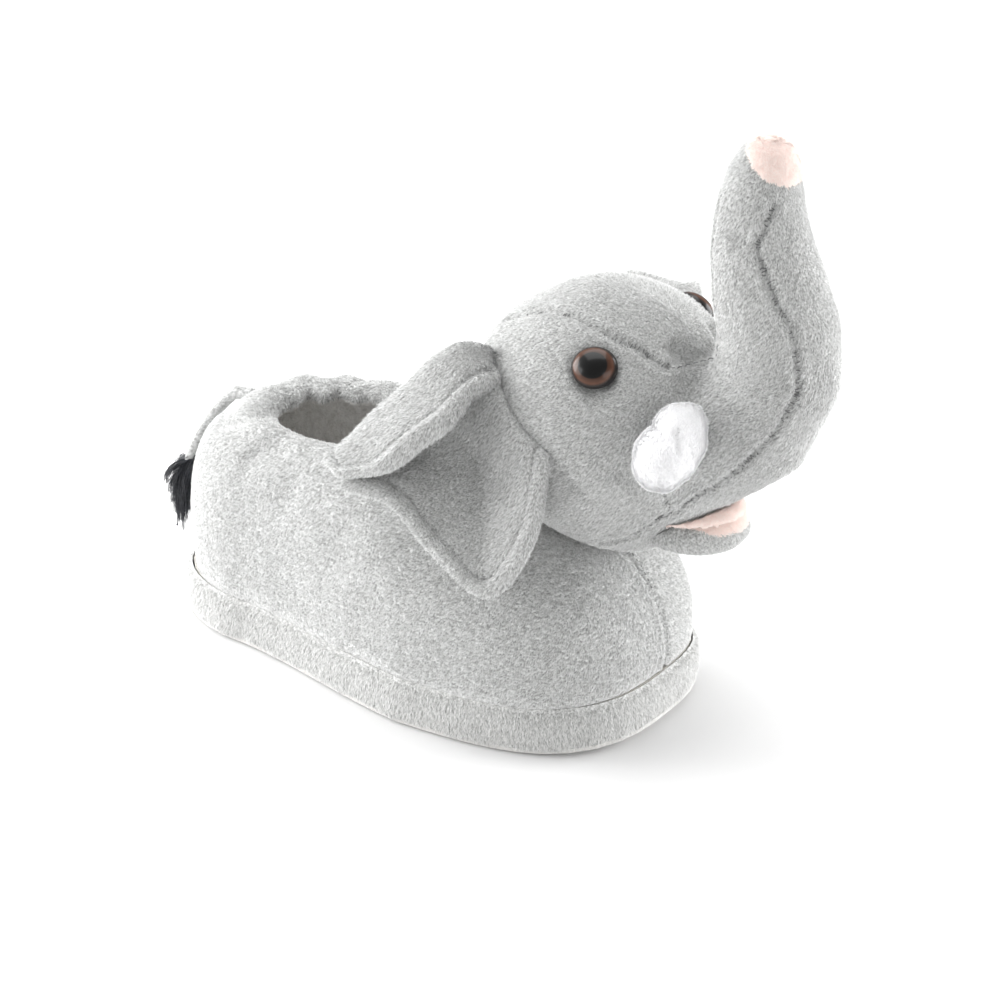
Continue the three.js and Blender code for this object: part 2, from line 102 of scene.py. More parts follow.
floor_mesh = bpy.data.meshes.new("floor")
floor_mesh.from_pydata([(-9, -9, 0), (9, -9, 0), (9, 9, 0), (-9, 9, 0)], [], [(0, 1, 2, 3)])
floor = bpy.data.objects.new("floor", floor_mesh)
collection.objects.link(floor)
floor_values = {"Base Color": (0.84, 0.84, 0.84, 1), "Roughness": 0.9, "Specular IOR Level": 0.1}
floor_paper, _, _ = wired("studio_floor", floor_values)
floor_mesh.materials.append(floor_paper)
floor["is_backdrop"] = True

world = bpy.data.worlds.new("studio")
world.use_nodes = True
world.node_tree.nodes["Background"].inputs["Color"].default_value = (1, 1, 1, 1)
world.node_tree.nodes["Background"].inputs["Strength"].default_value = 0.47
scene.world = world

softboxes = [
    {"name": "overhead", "place": (-0.3, 0.4, 1.7), "wide": 1.8, "watts": 31},
    {"name": "left", "place": (-1.7, -0.4, 0.6), "wide": 1.3, "watts": 44},
    {"name": "front_left", "place": (-1.3, -1.3, 0.4), "wide": 1.2, "watts": 20},
    {"name": "right", "place": (1.2, 1.3, 0.4), "wide": 1.3, "watts": 40},
    {"name": "low_right", "place": (1.35, -0.35, 0.12), "wide": 1.0, "watts": 9},
]
for box in softboxes:
    light = bpy.data.lights.new(box["name"], "AREA")
    light.size = box["wide"]
    light.energy = box["watts"]
    lamp = bpy.data.objects.new(box["name"], light)
    lamp.location = box["place"]
    towards = Vector((0, 0, 0.1)) - Vector(box["place"])
    lamp.rotation_euler = towards.to_track_quat("-Z", "Y").to_euler()
    collection.objects.link(lamp)

# Outsole: a thin pale sheet of grip fabric under the whole sole, curled up a little at the toe. Small soft
# rubber dots are printed on it in staggered rows, and the shoe stands on them.
MM = 0.001
sole_length, ball_width, ball_forward = 290, 155, 34
heel_width, heel_back = 104, 78
toe_squareness, heel_squareness, side_roundness = 2.85, 1.95, 0.4
toe_spring, flat_forefoot = 4, 95
grip_dot_height, grip_dot_width, grip_dot_spacing, grip_margin = 0.8, 5.5, 12.5, 9


def eased(share):
    share = np.clip(share, 0, 1)
    return share * share * (3 - 2 * share)


def blended(start, end, share):
    return start + (end - start) * share


def half_width(x):
    waist = np.clip((x + heel_back) / (ball_forward + heel_back), 0, 1)
    side = blended(heel_width, ball_width, blended(waist, eased(waist), side_roundness)) / 2
    ahead = x > ball_forward
    start = np.where(ahead, ball_forward, heel_back)
    squareness = np.where(ahead, toe_squareness, heel_squareness)
    past = np.clip((np.abs(x) - start) / (sole_length / 2 - start), 0, 1)
    past = np.where(ahead | (x < -heel_back), past, 0)
    return side * (1 - past**squareness) ** (1 / squareness)


def toe_lift(x):
    return toe_spring * (np.maximum(0, x - flat_forefoot) / (sole_length / 2 - flat_forefoot)) ** 2


def linked(name, mesh, *finishes):
    piece = bpy.data.objects.new(name, mesh)
    collection.objects.link(piece)
    for finish in finishes:
        mesh.materials.append(finish)
    return piece


def settled(piece):
    """The piece's mesh with its modifiers taken into it."""
    bpy.context.view_layer.update()
    graph = bpy.context.evaluated_depsgraph_get()
    ready = piece.evaluated_get(graph)
    mesh = bpy.data.meshes.new_from_object(ready, preserve_all_data_layers=True, depsgraph=graph)
    old = piece.data
    piece.modifiers.clear()
    piece.data = mesh
    mesh.name = piece.name
    if old.users == 0:
        bpy.data.meshes.remove(old)
    return piece


def copied(name, node):
    """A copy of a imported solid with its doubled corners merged."""
    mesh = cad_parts[node].data.copy()
    mesh.materials.clear()
    shape = bmesh.new()
    shape.from_mesh(mesh)
    bmesh.ops.remove_doubles(shape, verts=shape.verts, dist=1e-5)
    shape.to_mesh(mesh)
    shape.free()
    mesh.name = name
    return linked(name, mesh)


def step_of(tree, kind, links_in=(), **settings):
    """One node, its settings and what feeds it."""
    node = tree.nodes.new(kind)
    for key, value in settings.items():
        setattr(node, key, value)
    for socket, source in links_in:
        if isinstance(source, (bool, int, float, str, tuple)):
            node.inputs[socket].default_value = source
        else:
            tree.links.new(source, node.inputs[socket])
    return node


def coordinate(tree, scale, detail=2.0, stretch=None, tilt=0.0):
    """A noise in the piece's own coordinates; scale is waves a metre, and stretch draws it out after a tilt."""
    where = step_of(tree, "ShaderNodeTexCoord").outputs["Object"]
    if stretch:
        feeds = [("Vector", where), ("Rotation", (0, tilt, 0)), ("Scale", stretch)]
        where = step_of(tree, "ShaderNodeMapping", feeds, vector_type="TEXTURE").outputs["Vector"]
    feeds = [("Vector", where), ("Scale", scale), ("Detail", detail)]
    return step_of(tree, "ShaderNodeTexNoise", feeds).outputs["Fac"]


def toned(tree, factor, stops):
    """Colours at places along a factor."""
    ramp = step_of(tree, "ShaderNodeValToRGB", [("Fac", factor)])
    while len(ramp.color_ramp.elements) < len(stops):
        ramp.color_ramp.elements.new(0.5)
    for element, (place, colour) in zip(ramp.color_ramp.elements, stops):
        element.position = place
        element.color = (*colour, 1)
    return ramp.outputs["Color"]


def bumped(tree, surface, height, depth):
    bump = step_of(tree, "ShaderNodeBump", [("Height", height), ("Distance", depth)])
    tree.links.new(bump.outputs["Normal"], surface.inputs["Normal"])


def plain_finish(name, scale, stops, roughness, grain=0, depth=0.0):
    """A material whose colour wanders softly between its stops, with a fine grain where a depth is given."""
    material, tree, surface = wired(name, {"Roughness": roughness})
    tree.links.new(toned(tree, coordinate(tree, scale), stops), surface.inputs["Base Color"])
    if depth > 0:
        bumped(tree, surface, coordinate(tree, grain), depth)
    return material


def in_frame(piece, node=None):
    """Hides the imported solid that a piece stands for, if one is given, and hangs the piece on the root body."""
    if node:
        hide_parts(node)
    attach(piece, "root")


grip_tones = [(0.35, (0.6, 0.59, 0.57)), (0.65, (0.72, 0.71, 0.69))]
grip_fabric = plain_finish("grip_fabric", 700, grip_tones, 0.85, grain=1100, depth=0.0004)
grip_rubber = plain_finish("grip_rubber", 160, [(0.3, (0.5, 0.5, 0.5)), (0.7, (0.6, 0.6, 0.59))], 0.55)

grip_sheet = copied("grip_sheet", "outsole")
for vertex in grip_sheet.data.vertices:
    above = vertex.co.z - toe_lift(vertex.co.x / MM) * MM
    if above < 0.5 * MM:
        vertex.co.z += grip_dot_height * MM
grip_sheet.data.materials.append(grip_fabric)
in_frame(grip_sheet, node="outsole")

dot_places = []
for row in range(-14, 15):
    for step in range(-7, 8):
        x = row * grip_dot_spacing * 0.866
        y = (step + 0.5 * (row % 2)) * grip_dot_spacing
        inside = abs(x) < sole_length / 2 - grip_margin and abs(y) < half_width(x) - grip_margin
        if inside:
            dot_places.append((x * MM, y * MM, (toe_lift(x) + grip_dot_height / 2) * MM))


def new_tree(name, sizes):
    """A geometry tree with one geometry input and named inputs for its sizes."""
    tree = bpy.data.node_groups.new(name, "GeometryNodeTree")
    tree.interface.new_socket("Geometry", in_out="INPUT", socket_type="NodeSocketGeometry")
    for label, kind in sizes.items():
        tree.interface.new_socket(label, in_out="INPUT", socket_type=kind)
    tree.interface.new_socket("Geometry", in_out="OUTPUT", socket_type="NodeSocketGeometry")
    start = tree.nodes.new("NodeGroupInput")
    end = tree.nodes.new("NodeGroupOutput")
    return tree, start, end


def grown(name, mesh, tree, values):
    """The tree's result on a mesh, as a plain mesh object."""
    piece = linked(name, mesh)
    modifier = piece.modifiers.new(name, "NODES")
    modifier.node_group = tree
    for item in tree.interface.items_tree:
        if item.in_out == "INPUT" and item.name in values:
            modifier[item.identifier] = values[item.name]
    return settled(piece)


def times(tree, value, factor):
    return step_of(tree, "ShaderNodeMath", [(0, value), (1, factor)], operation="MULTIPLY").outputs[0]


def coated(tree, end, geometry, material):
    """The tree's last steps: instances made real, and the material."""
    real = step_of(tree, "GeometryNodeRealizeInstances", [("Geometry", geometry)])
    last = step_of(
        tree, "GeometryNodeSetMaterial", [("Geometry", real.outputs["Geometry"]), ("Material", material)]
    )
    tree.links.new(last.outputs["Geometry"], end.inputs["Geometry"])


dot_sizes = {"Width": "NodeSocketFloat", "Height": "NodeSocketFloat", "Rubber": "NodeSocketMaterial"}
dot_tree, start, end = new_tree("grip_dots", dot_sizes)
cone = step_of(
    dot_tree,
    "GeometryNodeMeshCone",
    [
        ("Vertices", 12),
        ("Side Segments", 1),
        ("Radius Top", times(dot_tree, start.outputs["Width"], 0.5)),
        ("Radius Bottom", times(dot_tree, start.outputs["Width"], 0.36)),
        ("Depth", start.outputs["Height"]),
    ],
)
down = step_of(dot_tree, "ShaderNodeCombineXYZ", [("Z", times(dot_tree, start.outputs["Height"], -0.5))])
centred = step_of(
    dot_tree, "GeometryNodeTransform", [("Geometry", cone.outputs["Mesh"]), ("Translation", down.outputs[0])]
)
dots = step_of(
    dot_tree,
    "GeometryNodeInstanceOnPoints",
    [("Points", start.outputs["Geometry"]), ("Instance", centred.outputs["Geometry"])],
)
coated(dot_tree, end, dots.outputs["Instances"], start.outputs["Rubber"])
dot_points = bpy.data.meshes.new("grip_dots")
dot_points.from_pydata(dot_places, [], [])
grip_dots = grown(
    "grip_dots",
    dot_points,
    dot_tree,
    {"Width": grip_dot_width * MM, "Height": grip_dot_height * MM, "Rubber": grip_rubber},
)
in_frame(grip_dots)

# Midsole: one thick block of soft foam, cut to the outline and glued to the grip fabric. The plush strip
# round its side and the sock above it hide it, and its edges are a little rounded by the trimming.
foam_tones = [(0.35, (0.58, 0.56, 0.52)), (0.65, (0.66, 0.64, 0.6))]
foam = plain_finish("midsole_foam", 380, foam_tones, 0.9, grain=1500, depth=0.0003)


def changed(piece, kind, **settings):
    """Adds one modifier with its settings."""
    modifier = piece.modifiers.new(kind.lower(), kind)
    for key, value in settings.items():
        setattr(modifier, key, value)


foam_block = copied("foam_block", "midsole")
changed(foam_block, "BEVEL", width=0.8 * MM, segments=2, limit_method="ANGLE")
settled(foam_block)
foam_block.data.materials.append(foam)
in_frame(foam_block, node="midsole")

# Sole band: a strip of the same plush, wrapped round the foam with its pile combed down. It is sewn to the
# upper along its top edge and glued down to the grip sheet below, so its lower edge is a little uneven.
outsole_thickness, seam_gap, midsole_thickness = 3, 0.3, 20.7
band_thickness, band_bulge = 4, 1.2
band_height = outsole_thickness + seam_gap + midsole_thickness
feather_height = band_height + seam_gap
outline_steps = 1440
band_columns, band_rows = 360, 16


def even_ring(place, count):
    """Evenly spaced points of a closed outline, their outward directions and their shares round it."""
    fine = place(np.linspace(0, 2 * np.pi, outline_steps + 1))
    run = np.concatenate([[0], np.cumsum(np.linalg.norm(np.diff(fine, axis=0), axis=1))])
    wanted = run[-1] * np.arange(count) / count
    points = np.stack([np.interp(wanted, run, fine[:, i]) for i in (0, 1)], axis=1)
    across = np.roll(points, -1, axis=0) - np.roll(points, 1, axis=0)
    outward = np.stack([across[:, 1], -across[:, 0]], axis=1)
    outward /= np.linalg.norm(outward, axis=1)[:, None]
    return points, outward, np.arange(count) / count


def foot_place(turn):
    x = sole_length / 2 * np.cos(turn)
    return np.stack([x, np.sign(np.sin(turn)) * half_width(x)], axis=1)


def at_ends(x):
    """One at the toe and the heel, and none along the middle of the shoe."""
    return eased((np.abs(x) - 90) / 55)


def ring_mesh(name, rings):
    """A closed surface through rings of equal count; the last ring joins the first."""
    rows, count = rings.shape[:2]
    row, column = np.meshgrid(np.arange(rows), np.arange(count), indexing="ij")
    ahead, beside = (row + 1) % rows, (column + 1) % count
    faces = np.stack(
        [row * count + column, row * count + beside, ahead * count + beside, ahead * count + column], axis=-1
    ).reshape(-1, 4)
    mesh = bpy.data.meshes.new(name)
    mesh.from_pydata((rings.reshape(-1, 3) * MM).tolist(), [], faces.tolist())
    mesh.polygons.foreach_set("use_smooth", np.ones(len(faces), bool))
    return mesh


def read_from(items, field, width=1, kind=float):
    """One field of every item, as an array."""
    values = np.empty(len(items) * width, kind)
    items.foreach_get(field, values)
    return values


def places_of(piece):
    return read_from(piece.data.vertices, "co", 3).reshape(-1, 3)


def normals_of(piece):
    return read_from(piece.data.vertices, "normal", 3).reshape(-1, 3)


def tree_of(piece):
    return BVHTree.FromPolygons([tuple(v) for v in places_of(piece)], [tuple(p.vertices) for p in piece.data.polygons])


def put(piece, co):
    piece.data.vertices.foreach_set("co", co.ravel())
    piece.data.update()


def told(piece, name, values):
    """Stores a number or a direction for each point of the piece."""
    kind = "FLOAT" if values.ndim == 1 else "FLOAT_VECTOR"
    attribute = piece.data.attributes.new(name, kind, "POINT")
    attribute.data.foreach_set("value" if values.ndim == 1 else "vector", values.astype(np.float32).ravel())


wave_turns = np.random.default_rng(7).uniform(-1, 1, (24, 3))
wave_starts = np.random.default_rng(8).uniform(0, 2 * np.pi, 24)


def lumps(co, size):
    """Slow unevenness of a stuffed or stretched surface, about from -1 to 1; size is metres a lump."""
    return np.sin((co @ wave_turns.T) * (2 * np.pi / size) + wave_starts).sum(axis=1) / 5


pile_sizes = dict.fromkeys(("Density", "Length", "Width", "Lift", "Swirl", "Clump", "Spread"), "NodeSocketFloat")
pile_sizes.update({"Seed": "NodeSocketInt", "Hair": "NodeSocketMaterial"})
pile_tree, start, end = new_tree("plush_pile", pile_sizes)


def named(tree, name, kind):
    return step_of(tree, "GeometryNodeInputNamedAttribute", [("Name", name)], data_type=kind).outputs["Attribute"]


def vectors(operation, first, *others):
    """One step with directions in the pile's tree."""
    feeds = [(0, first)] + [("Scale" if operation == "SCALE" else 1, other) for other in others]
    node = step_of(pile_tree, "ShaderNodeVectorMath", feeds, operation=operation)
    return node.outputs["Value" if operation == "DOT_PRODUCT" else "Vector"]


def noisy(scale, detail, strength):
    """A direction that wanders over the piece, about none on average."""
    feeds = [("Vector", position.outputs[0]), ("Scale", scale), ("Detail", detail)]
    noise = step_of(pile_tree, "ShaderNodeTexNoise", feeds)
    return vectors("SCALE", vectors("SUBTRACT", noise.outputs["Color"], (0.5, 0.5, 0.5)), strength)


def by_chance(low, high, seed, kind="FLOAT"):
    feeds = [("Min", low), ("Max", high), ("Seed", seed)]
    node = step_of(pile_tree, "FunctionNodeRandomValue", feeds, data_type=kind)
    return node.outputs[0 if kind == "FLOAT_VECTOR" else 1]


def noted(geometry, name, value, domain):
    feeds = [("Geometry", geometry), ("Name", name), ("Value", value)]
    node = step_of(pile_tree, "GeometryNodeStoreNamedAttribute", feeds, data_type="FLOAT", domain=domain)
    return node.outputs["Geometry"]


roots = step_of(
    pile_tree,
    "GeometryNodeDistributePointsOnFaces",
    [
        ("Mesh", start.outputs["Geometry"]),
        ("Seed", start.outputs["Seed"]),
        ("Density", times(pile_tree, start.outputs["Density"], named(pile_tree, "cover", "FLOAT"))),
    ],
    distribute_method="RANDOM",
)
position = pile_tree.nodes.new("GeometryNodeInputPosition")
stray = by_chance((-1.0, -1.0, -1.0), (1.0, 1.0, 1.0), 3, kind="FLOAT_VECTOR")
combed = vectors("ADD", named(pile_tree, "nap", "FLOAT_VECTOR"), noisy(42.0, 1.5, start.outputs["Swirl"]))
combed = vectors("ADD", combed, noisy(330.0, 1.0, start.outputs["Clump"]))
combed = vectors("ADD", combed, vectors("SCALE", stray, start.outputs["Spread"]))
against = vectors("DOT_PRODUCT", combed, roots.outputs["Normal"])
lying = vectors("NORMALIZE", vectors("SUBTRACT", combed, vectors("SCALE", roots.outputs["Normal"], against)))
lift_of_hair = times(pile_tree, start.outputs["Lift"], by_chance(0.5, 1.5, 5))
hair_way = vectors("ADD", lying, vectors("SCALE", roots.outputs["Normal"], lift_of_hair))
turned = step_of(
    pile_tree,
    "FunctionNodeAxesToRotation",
    [(0, hair_way), (1, roots.outputs["Normal"])],
    primary_axis="X",
    secondary_axis="Z",
)
three_corners = step_of(pile_tree, "GeometryNodeMeshCircle", [("Vertices", 3), ("Radius", 1.0)], fill_type="NGON")
hair = step_of(
    pile_tree,
    "GeometryNodeTransform",
    [
        ("Geometry", three_corners.outputs["Mesh"]),
        ("Scale", (1 / 1.5, 1 / 1.732, 1)),
        ("Translation", (1 / 3, 0, 0)),
    ],
)
hair_parts = step_of(pile_tree, "ShaderNodeSeparateXYZ", [(0, position.outputs[0])])
hair_size = step_of(
    pile_tree,
    "ShaderNodeCombineXYZ",
    [
        ("X", times(pile_tree, start.outputs["Length"], by_chance(0.7, 1.25, 11))),
        ("Y", start.outputs["Width"]),
        ("Z", 1.0),
    ],
)
planted = step_of(
    pile_tree,
    "GeometryNodeInstanceOnPoints",
    [
        ("Points", roots.outputs["Points"]),
        ("Instance", noted(hair.outputs["Geometry"], "along", hair_parts.outputs["X"], "POINT")),
        ("Rotation", turned.outputs[0]),
        ("Scale", hair_size.outputs[0]),
    ],
)
tinted = noted(planted.outputs["Instances"], "tint", by_chance(0.0, 1.0, 17), "INSTANCE")
coated(pile_tree, end, tinted, start.outputs["Hair"])


def forget_pile(piece):
    """Removes what a skin tells its pile."""
    for name in ("nap", "cover"):
        if name in piece.data.attributes:
            piece.data.attributes.remove(piece.data.attributes[name])


def pile(
    name, skin, hairs, hair_length, material, width=0.55, lift=0.42, swirl=1.0, clump=1.5, spread=0.3, seed=1
):
    """Plush hairs over a piece: hairs is how many, counted over what its cover leaves open."""
    faces = skin.data
    covers = read_from(faces.attributes["cover"].data, "value")
    first_corners = read_from(faces.polygons, "loop_start", kind=int)
    corners = read_from(faces.loops, "vertex_index", kind=int)
    open_area = (read_from(faces.polygons, "area") * covers[corners[first_corners]]).sum()
    planted_pile = grown(
        name,
        faces.copy(),
        pile_tree,
        {
            "Density": hairs / open_area,
            "Length": hair_length * MM,
            "Width": width * MM,
            "Lift": lift,
            "Swirl": swirl,
            "Clump": clump,
            "Spread": spread,
            "Seed": seed,
            "Hair": material,
        },
    )
    forget_pile(planted_pile)
    in_frame(planted_pile)
    return planted_pile


def plush_finish(name, deep, pale, sheen=0.8, stretch=(2.2, 2.2, 1), tilt=0.0, dash=980, parting_shade_share=0.48):
    """The backing and the hairs of one plush, with painted shade: deep is painted on the hairs towards their roots and
    in dashes where the tufts part, pale on their tips.
    """
    finishes = []
    values = {"Roughness": 0.92, "Specular IOR Level": 0.2, "Sheen Weight": sheen, "Sheen Roughness": 0.45}
    for part in ("skin", "hairs"):
        material, tree, surface = wired(f"{name}_{part}", values)
        # Painted shade: stretched dark dashes where the tufts part.
        parting_shade = coordinate(tree, dash, 1.5, stretch, tilt)
        if part == "hairs":
            tint = step_of(tree, "ShaderNodeAttribute", attribute_name="tint").outputs["Fac"]
            along = step_of(tree, "ShaderNodeAttribute", attribute_name="along").outputs["Fac"]
            # Painted shade: each hair is painted darker towards its root and paler at its tip, with a random tone from
            # its tint.
            feeds = [(0, along), (1, 0.6), (2, times(tree, tint, 0.4))]
            share = step_of(tree, "ShaderNodeMath", feeds, operation="MULTIPLY_ADD").outputs[0]
        else:
            share = coordinate(tree, 900)
            bumped(tree, surface, share, 0.0006)
        feeds = [("Factor", parting_shade_share), ("A", share), ("B", parting_shade)]
        mixed = step_of(tree, "ShaderNodeMix", feeds, data_type="FLOAT")
        tone = toned(tree, mixed.outputs["Result"], [(0.3, deep), (0.66, pale)])
        tree.links.new(tone, surface.inputs["Base Color"])
        finishes.append(material)
    return finishes


grey_deep, grey_pale = (0.3, 0.303, 0.297), (0.79, 0.795, 0.788)
# Painted light: the band's plush is a lighter copy of the body's, standing in for the light the floor throws on it.
lit_band_plush = plush_finish("lit_band_plush", (0.36, 0.363, 0.355), (0.84, 0.842, 0.83), stretch=(1, 1, 2.4))

foot_points, foot_outward, foot_share = even_ring(foot_place, band_columns)
climbs = np.linspace(0, 1, band_rows)
band_profile = [(0, -0.5), (0.1, -0.2), (0.3, 0.2), (0.55, 0.3), (0.85, -0.5), (1, -2.4)]
swell = np.interp(climbs, *zip(*band_profile)) * band_bulge
foot_round = foot_share * 2 * np.pi
wander = 0.5 * np.sin(foot_round * 17) + 0.35 * np.sin(foot_round * 41 + 2)
puckers, pucker_depth, band_draw, edge_drop = 96, 0.25, 0.7, 0.8
outer_rings = []
for climb, bulge in zip(climbs, swell):
    pucker = pucker_depth * np.sin(foot_round * puckers) * eased((climb - 0.6) / 0.4)
    move = bulge + pucker - band_draw * at_ends(foot_points[:, 0]) + 0.2 * wander * (1 - climb)
    place = foot_points + foot_outward * move[:, None]
    height = blended(outsole_thickness + seam_gap, band_height, climb) + toe_lift(place[:, 0])
    height = height - wander * (1 - eased(climb / 0.3)) * edge_drop
    outer_rings.append(np.column_stack([place, height]))
for height in (band_height, outsole_thickness + seam_gap):
    place = foot_points - foot_outward * (band_thickness - 0.4)
    outer_rings.append(np.column_stack([place, height + toe_lift(place[:, 0])]))
sole_strip = linked("sole_strip", ring_mesh("sole_strip", np.array(outer_rings)), lit_band_plush[0])
rows = np.repeat(np.arange(band_rows + 2), band_columns)
told(sole_strip, "cover", (rows < band_rows - 1).astype(float) * np.where(rows == band_rows - 2, 0.5, 1))
told(sole_strip, "nap", np.tile([0.0, 0.0, -1.0], (len(rows), 1)))
in_frame(sole_strip, node="sole_band")
pile("sole_strip_pile", sole_strip, 50000, 2.3, lit_band_plush[1], swirl=0.6, spread=0.4, seed=2)

# Insole: a soft sock of brushed fabric over thin foam, glued on the midsole inside the upper. The foot has
# pressed it a little hollow at the heel and the ball.
lining_plush = plush_finish("lining", (0.68, 0.665, 0.64), (0.97, 0.96, 0.94), sheen=0.3, stretch=(1, 1, 3), dash=420)


def remeshed(piece, square, rounds=6, finer=True):
    """Even squares over the whole piece, its facets eased away."""
    changed(piece, "REMESH", mode="VOXEL", voxel_size=square * MM)
    settled(piece)
    changed(piece, "SMOOTH", factor=0.5, iterations=rounds)
    if finer:
        changed(piece, "SUBSURF", levels=1, render_levels=1)
    settled(piece)
    piece.data.polygons.foreach_set("use_smooth", np.ones(len(piece.data.polygons), bool))
    return piece


sock = remeshed(copied("sock", "insole"), 2.5, finer=False)
co = places_of(sock)
top = co[:, 2] > (feather_height + 3) * MM
for x, y, wide, deep in [(-88, 0, 34, 1.1), (48, -14, 38, 0.9)]:
    near = np.exp(-(((co[:, 0] / MM - x) / wide) ** 2) - ((co[:, 1] / MM - y) / wide) ** 2)
    co[:, 2] -= np.where(top, near * deep * MM, 0)
put(sock, co)
sock.data.materials.append(lining_plush[0])
in_frame(sock, node="insole")

# Upper: a padded shell of grey plush outside and brushed fabric inside, joined over a soft rolled collar.
# Elastic gathers it round the back of the collar, and its toe is sewn together down the middle.
wall, body_height = 8, 86
seam_tuck, tuck_reach, pile_room = 1.4, 0.14, 1.3
collar_length, collar_width, collar_back = 114, 84, 41
collar_padding, collar_pad_height, collar_roll, collar_rise = 11, 14, 8, 4
padding_start = 0.8
heel_fullness, toe_fullness = 3.3, 2.25
gather_count, gather_depth, gather_start, gather_span, collar_stand = 7, 1.6, 0.62, 0.3, 4.5
collar_pleat, lining_pleat, heel_draw, toe_draw = 1.1, 2.6, 3.2, 1.6
upper_columns, wall_rows, lining_rows, rim_rows = 360, 58, 26, 10


def collar_place(turn):
    return np.stack(
        [collar_length / 2 * np.cos(turn) - collar_back, collar_width / 2 * np.sin(turn)], axis=1
    )


foot_points, foot_outward, foot_share = even_ring(foot_place, upper_columns)
collar_points, collar_outward, _ = even_ring(collar_place, upper_columns)
backness = 0.5 - foot_points[:, 0] / sole_length


def upper_ring(climb, depth):
    fullness = blended(toe_fullness, heel_fullness, eased(backness))
    angle = climb * np.pi / 2
    inward = 1 - np.maximum(0, np.cos(angle)) ** (2 / fullness)
    upward = np.sin(angle) ** (2 / fullness)
    tuck = np.full(upper_columns, seam_tuck * (1 - eased(climb / tuck_reach)))
    behind = eased((gather_span - np.abs(foot_share - 0.5)) / (gather_span * 0.4))
    near_collar = eased((climb - gather_start) / gather_span)
    far_side = eased((collar_outward[:, 1] + 0.35) / 1.1)
    ripple = gather_depth * behind * near_collar * np.cos(gather_count * 4 * np.pi * (foot_share - 0.5))
    ripple = ripple * (0.15 + 0.6 * far_side)
    wave = 44 * np.pi * foot_share + 3 * np.sin(9 * foot_share)
    if depth > 0:
        fine_gathers = lining_pleat * behind * (1 - 2 * np.abs(np.sin(wave / 4))) * near_collar
        room = depth
    else:
        seen = (0.25 + 0.75 * far_side) * eased((climb - 0.84) / 0.16)
        fine_gathers = collar_pleat * behind * seen * (1 - 2 * np.abs(np.sin(wave / 2)))
        room = pile_room + at_ends(foot_points[:, 0]) * np.where(foot_points[:, 0] < 0, heel_draw, toe_draw)
    low = foot_points - foot_outward * (tuck + room)[:, None]
    place = low + (collar_points - low) * inward[:, None] + collar_outward * (ripple + fine_gathers)[:, None]
    padding = eased((climb - padding_start) / (1 - padding_start))
    thickness = blended(depth, collar_pad_height, padding) if depth > 0 else depth
    bottom = feather_height + toe_lift(foot_points[:, 0])
    top = feather_height + body_height + collar_rise * (1 - backness) - thickness
    height = bottom + (top - bottom) * upward + collar_roll * padding + ripple / 2
    height = height + collar_stand * far_side * near_collar - (pile_room * upward if depth == 0 else 0)
    return np.column_stack([place, height])


def rim_ring(angle):
    ring = upper_ring(1.0, 0)
    place = ring[:, :2] - collar_outward * (collar_padding * np.sin(angle))
    return np.column_stack([place, ring[:, 2] + collar_pad_height / 2 * (np.cos(angle) - 1)])


wall_climbs = np.linspace(0, 1, wall_rows + 1)[:-1] ** 0.95
rim_angles = np.linspace(0, np.pi, rim_rows + 1)[:-1]
lining_climbs = np.linspace(1, 0, lining_rows)
upper_rings = [upper_ring(c, 0) for c in wall_climbs]
upper_rings += [rim_ring(a) for a in rim_angles]
upper_rings += [upper_ring(c, wall) for c in lining_climbs]
body_plush = plush_finish("body_plush", grey_deep, grey_pale, stretch=(2.6, 2.6, 1))
shell = linked("shell", ring_mesh("shell", np.array(upper_rings)), body_plush[0], lining_plush[0])
ring_of = np.repeat(np.arange(len(upper_rings)), upper_columns)
lined_from = wall_rows + 6
shell.data.polygons.foreach_set("material_index", (ring_of >= lined_from).astype(int))
shell.data.update()


def laid_on(piece, points, step):
    """A smooth line through given points in millimetres, laid on the piece, and its directions out."""
    knots = np.array(points, float)
    padded_knots = np.vstack([2 * knots[0] - knots[1], knots, 2 * knots[-1] - knots[-2]])
    line = []
    for i in range(len(knots) - 1):
        a, b, c, d = padded_knots[i : i + 4]
        pieces = max(2, int(np.linalg.norm(c - b) / step))
        for t in np.arange(pieces) / pieces:
            line.append(
                0.5 * ((2 * b) + (c - a) * t + (2 * a - 5 * b + 4 * c - d) * t**2 + (3 * b - a - 3 * c + d) * t**3)
            )
    line.append(knots[-1])
    tree = tree_of(piece)
    found = [tree.find_nearest(Vector(p) * MM) for p in line]
    return np.array([hit[0] for hit in found]), np.array([hit[1] for hit in found])


def from_line(co, line):
    """Each point's distance to a line and its share along it."""
    near = np.full(len(co), 1e9)
    share = np.zeros(len(co))
    low, high = line.min(0) - 0.02, line.max(0) + 0.02
    close = np.where(((co > low) & (co < high)).all(axis=1))[0]
    for block in np.array_split(close, max(1, len(close) // 4000)):
        gaps = np.linalg.norm(co[block, None] - line[None], axis=2)
        near[block] = gaps.min(axis=1)
        share[block] = gaps.argmin(axis=1) / (len(line) - 1)
    return near / MM, share


def press(piece, points, deep, wide, ridge=0.3, fade=0.0):
    """A trough along a line, with a soft ridge to each side: a seam, or a crease that fades at its ends."""
    line, _ = laid_on(piece, points, 1.5)
    co, normals = places_of(piece), normals_of(piece)
    gap, share = from_line(co, line)
    strength = np.ones(len(co))
    if fade > 0:
        strength = eased(share / fade) * eased((1 - share) / fade)
    move = deep * np.exp(-((gap / wide) ** 2)) - deep * ridge * np.exp(-(((gap - 2.1 * wide) / wide) ** 2))
    put(piece, co - normals * (move * strength * MM)[:, None])
    return gap


def bare_beside(gap):
    """The share of hairs that stands beside a seam."""
    return 1 - 0.9 * np.exp(-((gap / 0.9) ** 2))


